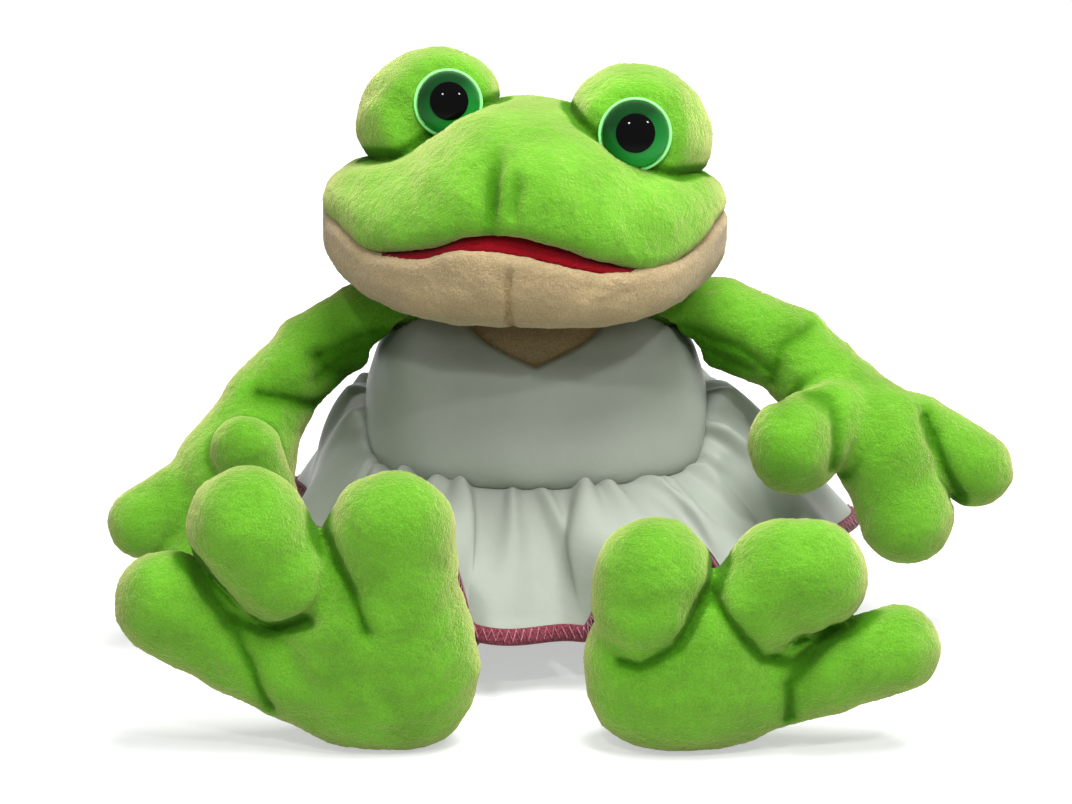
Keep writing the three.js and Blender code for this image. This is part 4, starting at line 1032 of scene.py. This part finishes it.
def from_head(x, front, height):
    """Points of the head's frame, in the object's."""
    return at(x, front, height) @ HEAD_TURN.T + head_pivot


def head_round(x, front):
    """Reach from the middle of the head and turn from its front, for points in its frame."""
    ahead = front - HEAD_FORWARD
    u, v = x / HEAD_HALF_WIDTH, ahead / np.where(ahead > 0, HEAD_FRONT, HEAD_BACK)
    return np.hypot(u, v), np.arctan2(u, v)


def along_seam(turn, column):
    """Value of a column of the seam's table at a turn, linear between its rows and then smoothed over 2.5 degrees."""
    rows = np.array(SEAM_ROWS, float)
    fine = np.linspace(-180, 180, 721)
    values = np.interp(fine, rows[:, 0], rows[:, column])
    weights = np.exp(-((np.arange(-12, 13) / 5.0) ** 2))
    smooth = np.convolve(np.pad(values, 12, mode="edge"), weights / weights.sum(), "valid")
    return np.interp(np.degrees(turn), fine, smooth)


def seam_height(turn):
    """Height of the line where green meets beige: high in front, low at the mouth's corners, up at the sides."""
    return along_seam(turn, 1)


def mouth_gap(turn):
    """Height of the opening between the lips, nothing past the corners."""
    return along_seam(turn, 2)


def lip_height(turn):
    """Half of the gap between the lips; past the corners the two halves of the head run a little into each other."""
    gap = mouth_gap(turn)
    return gap / 2 - LIP_OVERLAP * np.exp(-gap / LIP_FADE)


def shell_field(share, reach, powers, span):
    """Field of share^a + reach^b - 1 over its slope, for a half of the head that is span high."""
    a, b = powers
    share = np.maximum(share, 0)
    reach = np.maximum(reach, 0.02)
    lean = np.hypot(a * share ** (a - 1) / span, b * reach ** (b - 1) / HEAD_FRONT)
    return (share**a + reach**b - 1) / np.maximum(lean, 0.012)


def groove(x, place, width, depth):
    """Depth of an upright groove: depth * exp(-((x - place) / width)^2)."""
    return depth * np.exp(-(((x - place) / width) ** 2))


def brow_depth(p):
    """Depth of the two upright folds of the forehead: a groove each, faded in at the front and out at its ends."""
    x, front, height = to_head(p)
    foot = BROW_LONG_LEFT + (1 - BROW_LONG_LEFT) * past(height, *BROW_LONG_FOOT)
    long = groove(x, **BROW_LONG) * short_of(height, *BROW_LONG_TOP) * foot
    short = groove(x, **BROW_SHORT) * short_of(height, *BROW_SHORT_TOP) * past(height, *BROW_SHORT_FOOT)
    return (long + short) * past(front, *BROW_FRONT)


def crown_field(p):
    """Upper half of the head, cut along the seam with a rounded lip, with the two eye mounds. Each is a ball joined
    with the bed of its eye, cut flat under the eye, and a groove runs where it meets the head."""
    x, front, height = to_head(p)
    reach, turn = head_round(x, front)
    seam = seam_height(turn)
    drop = np.where(x > 0, CROWN_LEFT_DROP, CROWN_RIGHT_DROP)
    top = CROWN_TOP - drop * past(np.abs(x), CROWN_FLAT, CROWN_FALL)
    share = (height - seam) / (top - seam)
    ahead = ease((np.cos(turn) + 0.1) / 0.6)
    back_dome = shell_field(share, reach, CROWN_BACK_POWERS, top - seam)
    front_dome = shell_field(share, reach, CROWN_FRONT_POWERS, top - seam)
    dome = back_dome + (front_dome - back_dome) * ahead
    body = cut(dome + brow_depth(p), seam + lip_height(turn) - height, CROWN_LIP)
    for side in SIDES:
        mound = np.linalg.norm(p - mound_centre(side) - MOUND_SHIFT[side], axis=-1) - MOUND_SKIN[side]
        bed = np.linalg.norm(p - eye_seat(side) + eye_axis(side) * EYE_BED_BEHIND, axis=-1) - EYE_BED_RADIUS
        seat = (p - eye_seat(side)) @ eye_axis(side) + EYE_SUNK
        lump = cut(joined(mound, bed, EYE_BED_FILLET), seat, EYE_BED_EDGE)
        groove_depth = MOUND_GROOVE_DEPTH * np.exp(-np.abs(body - lump) / MOUND_GROOVE_WIDTH)
        body = joined(body, lump, MOUND_FILLET) + groove_depth
    return body


def jaw_field(p):
    """Lower half of the head, lower in front than behind and pinched along the seam down the chin."""
    x, front, height = to_head(p)
    reach, turn = head_round(x, front)
    seam = seam_height(turn)
    bottom = JAW_BOTTOM - CHIN_DROP * np.maximum(0, np.cos(turn)) ** 2 * reach
    bottom = bottom + JAW_MIDDLE_RISE * (1 - np.minimum(reach, 1) ** 2)
    jaw = shell_field((seam - height) / (seam - bottom), reach, JAW_POWERS, seam)
    start, length = CHIN_SEAM_FRONT
    seamed = groove(x, **CHIN_SEAM) * np.clip((front - start) / length, 0, 1) * short_of(height, *CHIN_SEAM_TOP)
    return cut(jaw + seamed, height - seam + lip_height(turn), JAW_LIP)


def lining_field(p):
    """Red lining of the mouth: a slab between the lips, a little behind their edges, further back at its top."""
    x, front, height = to_head(p)
    reach, turn = head_round(x, front)
    slab = np.abs(height - seam_height(turn)) - mouth_gap(turn) / 2 - LINING_HALF
    slab = np.maximum(slab, (np.abs(turn) - MOUTH_HALF_ANGLE) * HEAD_FRONT)
    up = np.clip((height - seam_height(turn)) / np.maximum(mouth_gap(turn), 0.5) + 0.5, 0, 1)
    return np.maximum(cut(slab, (reach - LINING_REACH + LINING_SLANT * up) * LINING_SPAN, 1), LINING_BACK - front)


def mound_centre(side):
    """Centre of an eye mound."""
    return from_head(SIDES[side] * MOUND_SPACING / 2, MOUND_FORWARD, MOUND_HEIGHT[side])


def eye_axis(side):
    """Way an eye faces."""
    return unit(at(*EYE_WAY[side]))


def eye_seat(side):
    """Middle of the flat place under an eye."""
    return mound_centre(side) + unit(at(*EYE_PLACE_WAY[side])) * EYE_SEAT


plush_piece("head plush", crown_field, (-82, -88, 140), (76, 40, 222), "head", "green_plush", GREEN,
            ("head_crown", "eye_mound_left", "eye_mound_right"), 21, brow_depth)
plush_piece("jaw plush", jaw_field, (-82, -88, 116), (76, 40, 166), "head", "beige_plush", BEIGE, ("head_jaw",), 31)

points, faces = surface_net(
    lambda p: np.minimum(crown_field(p), jaw_field(p)) + WADDING_INSIDE, (-78, -84, 120), (72, 36, 218), WADDING_CELL,
)
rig.padded(mesh_piece("head wadding", points, faces, "head", "stuffing", WADDING, ("head_stuffing",)), fill=0.8)
points, faces = surface_net(lining_field, (-70, -82, 136), (54, -14, 170), LINING_CELL)
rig.padded(mesh_piece("mouth inside", points, faces, "head", "red_lining", LINING, ("mouth_lining",)), fill=0.5)

for side in SIDES:
    seat = eye_seat(side)
    eye = EYE_RADIUS * EYE_SIZE[side]
    r = np.linspace(0, 1, 16)
    dome = [(eye * t, EYE_BASE + EYE_DOME * math.sqrt(max(0, 1 - t * t))) for t in np.sin(r * math.pi / 2)]
    points, faces = lathe(dome + [(eye, -EYE_BASE), (0, -EYE_BASE)], seat, eye_axis(side))
    ball = mesh_piece(f"iris {side}", points, faces, "head", "eye_green", IRIS, (f"eye_{side}",))
    # The stored shade paints light and shade on the iris: lighter low down, darker high up
    store(ball, "shade", 0.5 + (points - seat) @ unit(at(*SHADE_WAY)) / eye / 2)
    cap, under = ([(PUPIL_RADIUS * t, lift + EYE_DOME * math.sqrt(1 - (PUPIL_RADIUS * t / eye) ** 2)) for t in r]
                  for lift in (CAP_TOP, CAP_UNDER))
    points, faces = lathe(cap + under[::-1], seat, eye_axis(side))
    mesh_piece(f"pupil cap {side}", points, faces, "head", "eye_black", PUPIL, (f"pupil_{side}",))
    ring = [(0, RING_SEAT), (eye + RING_GAP, RING_SEAT)]
    ring += [(eye + RIM_WIDTH * (1 - math.cos(a)) / 2, RING_TOP + RING_BULGE * math.sin(a))
             for a in np.linspace(0, math.pi, 9)]
    points, faces = lathe(ring + [(eye + RIM_WIDTH, RING_LOW), (0, RING_LOW)], seat, eye_axis(side))
    mesh_piece(f"eye ring {side}", points, faces, "head", "eye_ring", RING, (f"eye_rim_{side}",))


# Limbs
def sewn_end(p, field, root, along, off=LIMB_OFF_TORSO):
    """Limb cut square near its joint and kept off the torso, with both edges rounded."""
    return cut(cut(field, (root - p) @ along + LIMB_PAST_JOINT, LIMB_END_EDGE), off - torso_field(p), LIMB_TORSO_EDGE)


def limb(name, field, folds, nodes, seed):
    """Green plush in the room of its nodes and a margin round them, to be blended between two bodies."""
    boxes = [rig.box(part) for part in nodes]
    low = np.min([box[0] for box in boxes], 0) / MM - LIMB_MARGIN
    high = np.max([box[1] for box in boxes], 0) / MM + LIMB_MARGIN
    return plush_piece(name, field, low, high, None, "green_plush", GREEN, nodes, seed, folds)


def joint_ball(name, centre, radius, body, part):
    """Plush ball inside a joint, which shows where a limb turns away from the torso."""
    profile = [(radius * math.sin(a), -radius * math.cos(a)) for a in np.linspace(0, math.pi, 14)]
    points, faces = lathe(profile, centre, np.array([1.0, 0, 0]), sides=40)
    root = mesh_piece(name, points, faces, body, "green_plush", GREEN, (part,))
    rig.padded(root, fill=0.8)


for number, (side, o) in enumerate(SIDES.items()):
    shoulder, elbow = pivot(f"arm_raise_{side}"), pivot(f"elbow_{side}")

    def arm_field(p):
        """Arm and hand: a bent tube that widens into the palm, three fingers, and the folds at the elbow."""
        body = chain(p, ARM[side], ARM_FLATNESS)
        for name, points in FINGERS[side].items():
            body = joined(body, chain(p, points, FINGER_FLATNESS), FINGER_FILLET[side][name])
        off = LIMB_OFF_TORSO + ARMPIT_OFF * short_of(p[:, 2], ARMPIT_TOP, ARMPIT_FADE)
        return sewn_end(p, body + crease_depth(p, ARM_CREASES[side]), shoulder, unit(elbow - shoulder), off)

    def arm_creases_and_shade(p):
        """Depth of the arm's creases, and the shade of the armpit, deeper nearer the torso and lower down."""
        armpit = ARMPIT_SHADE * short_of(torso_field(p), ARMPIT_SHADE_OFF, ARMPIT_SHADE_RANGE)
        armpit = armpit * short_of(p[:, 2], ARMPIT_TOP, ARMPIT_SHADE_FADE)
        return crease_depth(p, ARM_CREASES[side]) + armpit

    nodes = [f"upper_arm_{side}", f"hand_{side}"] + [f"finger_{finger}_{side}" for finger in FINGERS[side]]
    arm = limb(f"arm plush {side}", arm_field, arm_creases_and_shade, nodes, 41 + number)
    palm = at(*ARM[side][-1][:3])
    middle = unit(unit(elbow - shoulder) + unit(palm - elbow))
    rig.blend(arm, f"arm_{side}", f"hand_{side}", (elbow - middle * 9) * MM, (elbow + middle * 9) * MM)
    joint_ball(f"shoulder plush {side}", shoulder, SHOULDER_RADIUS, f"shoulder_{side}", f"arm_root_{side}")

    hip, ankle = pivot(f"leg_lift_{side}"), pivot(f"foot_tip_{side}")
    roll = FOOT_ROLL[side]
    across = at(o * math.cos(roll), 0, math.sin(roll))
    upright = at(-o * math.sin(roll), 0, math.cos(roll))
    reach = math.hypot(SOLE[0] * math.sin(roll), SOLE[1] * math.cos(roll))
    sole = np.array([ankle[0], ankle[1] - ANKLE_TO_SOLE, reach - 0.5])

    def leg_field(p):
        """Leg and foot: a thick tube, slimmer under the hem by HEM_ROOM * exp(-(off / reach)^2), a standing sole,
        a web and three toes, flat where it rests on the floor."""
        leg = chain(p, [(hip[0], -hip[1], hip[2], LEG_HALF), (ankle[0], -ankle[1], ankle[2], LEG_HALF - 1)])
        leg = leg + HEM_ROOM * np.exp(-(((p[:, 1] + HEM_FRONT_DEPTH - 2) / HEM_ROOM_REACH) ** 2))
        body = joined(leg, puff(p, sole, [across, upright, FRONT], SOLE, SOLE_POWER), SOLE_FILLET)
        body = joined(body, chain(p, WEB[side], TOE_FLATNESS), WEB_FILLET)
        for name, points in TOES[side].items():
            body = joined(body, chain(p, points, TOE_FLATNESS), TOE_FILLET[side][name])
        body = body + crease_depth(p, FOOT_CREASES[side])
        return cut(sewn_end(p, body, hip, unit(ankle - hip)), -p[:, 2], SOLE_EDGE)

    nodes = [f"leg_{side}", f"foot_{side}"] + [f"toe_{toe}_{side}" for toe in TOES[side]]
    leg = limb(f"leg plush {side}", leg_field, lambda p: crease_depth(p, FOOT_CREASES[side]), nodes, 51 + number)
    way_leg = unit(ankle - hip)
    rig.blend(leg, f"leg_{side}", f"foot_{side}", (ankle - way_leg * 14) * MM, (ankle + way_leg * 2) * MM)
    joint_ball(f"hip plush {side}", hip, HIP_RADIUS, f"hip_{side}", f"leg_root_{side}")

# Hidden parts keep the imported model's shape
HIDDEN = {"torso_stuffing": WADDING, "pellet_bag": BEADS, "eye_washer_left": NYLON, "eye_washer_right": NYLON}
for name, made in HIDDEN.items():
    look = frame["nodes"][name].data.materials
    look.clear()
    look.append(made)


# Camera, floor and lamps
def lamp(name, azimuth, elevation, distance, size, power):
    """Square area lamp that looks at the toy from an azimuth right of the front and an elevation, in degrees."""
    data = bpy.data.lights.new(name, "AREA")
    data.size, data.energy = size, power
    a, e = math.radians(azimuth), math.radians(elevation)
    place = Vector((math.sin(a) * math.cos(e), -math.cos(a) * math.cos(e), math.sin(e))) * distance
    made = bpy.data.objects.new(name, data)
    made.location = place + Vector((0, 0, 0.1))
    made.rotation_euler = (-place).to_track_quat("-Z", "Y").to_euler()
    bpy.context.scene.collection.objects.link(made)
    return made


CAMERA_DISTANCE, CAMERA_ELEVATION, SENSOR_WIDTH, LENS = 0.8, math.radians(15), 36.0, 73.44
CAMERA_TARGET = Vector((0, -0.023, 0.089))
camera_data = bpy.data.cameras.new("camera")
camera_data.sensor_width, camera_data.lens = SENSOR_WIDTH, LENS
camera_data.clip_start, camera_data.clip_end = 0.05, 20
camera = bpy.data.objects.new("camera", camera_data)
away = Vector((0, -math.cos(CAMERA_ELEVATION), math.sin(CAMERA_ELEVATION)))
camera.location = CAMERA_TARGET + away * CAMERA_DISTANCE
camera.rotation_euler = (-away).to_track_quat("-Z", "Y").to_euler()
bpy.context.scene.collection.objects.link(camera)
bpy.context.scene.camera = camera
bpy.context.scene.view_settings.view_transform = "Standard"

FLOOR_HALF, WHITE_FROM, WHITE_AT = 6, 0.2, 0.42  # in metres: half the floor, and how far out it turns white
GLOW_NEAR, GLOW_FAR, STUDIO_LIGHT = 0.5, 1.0, 0.22
floor_mesh = bpy.data.meshes.new("floor")
corners = [(x * FLOOR_HALF, y * FLOOR_HALF, 0) for x, y in ((-1, -1), (1, -1), (1, 1), (-1, 1))]
floor_mesh.from_pydata(corners, [], [(0, 1, 2, 3)])
floor = bpy.data.objects.new("floor", floor_mesh)
bpy.context.scene.collection.objects.link(floor)
floor_made, tree, bsdf = material("floor", (0.6, 0.6, 0.6), 0.95)
floor_mesh.materials.append(floor_made)


def reckoned(tree, operation, a, b):
    """Value of an operation on two values."""
    made = node(tree, "ShaderNodeMath", operation=operation)
    tree.links.new(a, made.inputs[0])
    tree.links.new(b, made.inputs[1])
    return made.outputs[0]


def seen_ray(tree):
    """1 for rays that show the background: from the camera, a gloss or a clear part."""
    path = node(tree, "ShaderNodeLightPath").outputs
    either = reckoned(tree, "MAXIMUM", path["Is Camera Ray"], path["Is Glossy Ray"])
    return reckoned(tree, "MAXIMUM", either, path["Is Transmission Ray"])


where = node(tree, "ShaderNodeTexCoord")
distance = node(tree, "ShaderNodeVectorMath", operation="LENGTH")
tree.links.new(where.outputs["Object"], distance.inputs[0])
glow = between(tree, distance.outputs["Value"], GLOW_NEAR, GLOW_FAR, WHITE_FROM, WHITE_AT)
tree.links.new(reckoned(tree, "MULTIPLY", seen_ray(tree), glow), bsdf.inputs["Emission Strength"])
bsdf.inputs["Emission Color"].default_value = (1, 1, 1, 1)
bsdf.inputs["Specular IOR Level"].default_value = 0.0

world = bpy.data.worlds.new("studio")
bpy.context.scene.world = world
world.use_nodes = True
tree = world.node_tree
sky = tree.nodes["Background"]
sky.inputs["Color"].default_value = (1, 1, 1, 1)
tree.links.new(between(tree, seen_ray(tree), STUDIO_LIGHT, 1.0), sky.inputs["Strength"])

key = lamp("key", 34, 70, 0.85, 0.5, 12.5)
fill = lamp("fill", -30, 45, 1.5, 0.9, 2)
glint_a = lamp("glint a", -12, 40, 0.9, 0.045, 1.6)
glint_b = lamp("glint b", 33, 40, 0.9, 0.045, 1.6)
key.visible_glossy = fill.visible_glossy = False
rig.stage(floor, camera, key, fill, glint_a, glint_b)

final_low, final_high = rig.bounds()
with open("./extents.json", "w") as out:
    json.dump({"cad": [list(cad_low), list(cad_high)], "final": [list(final_low), list(final_high)]}, out)
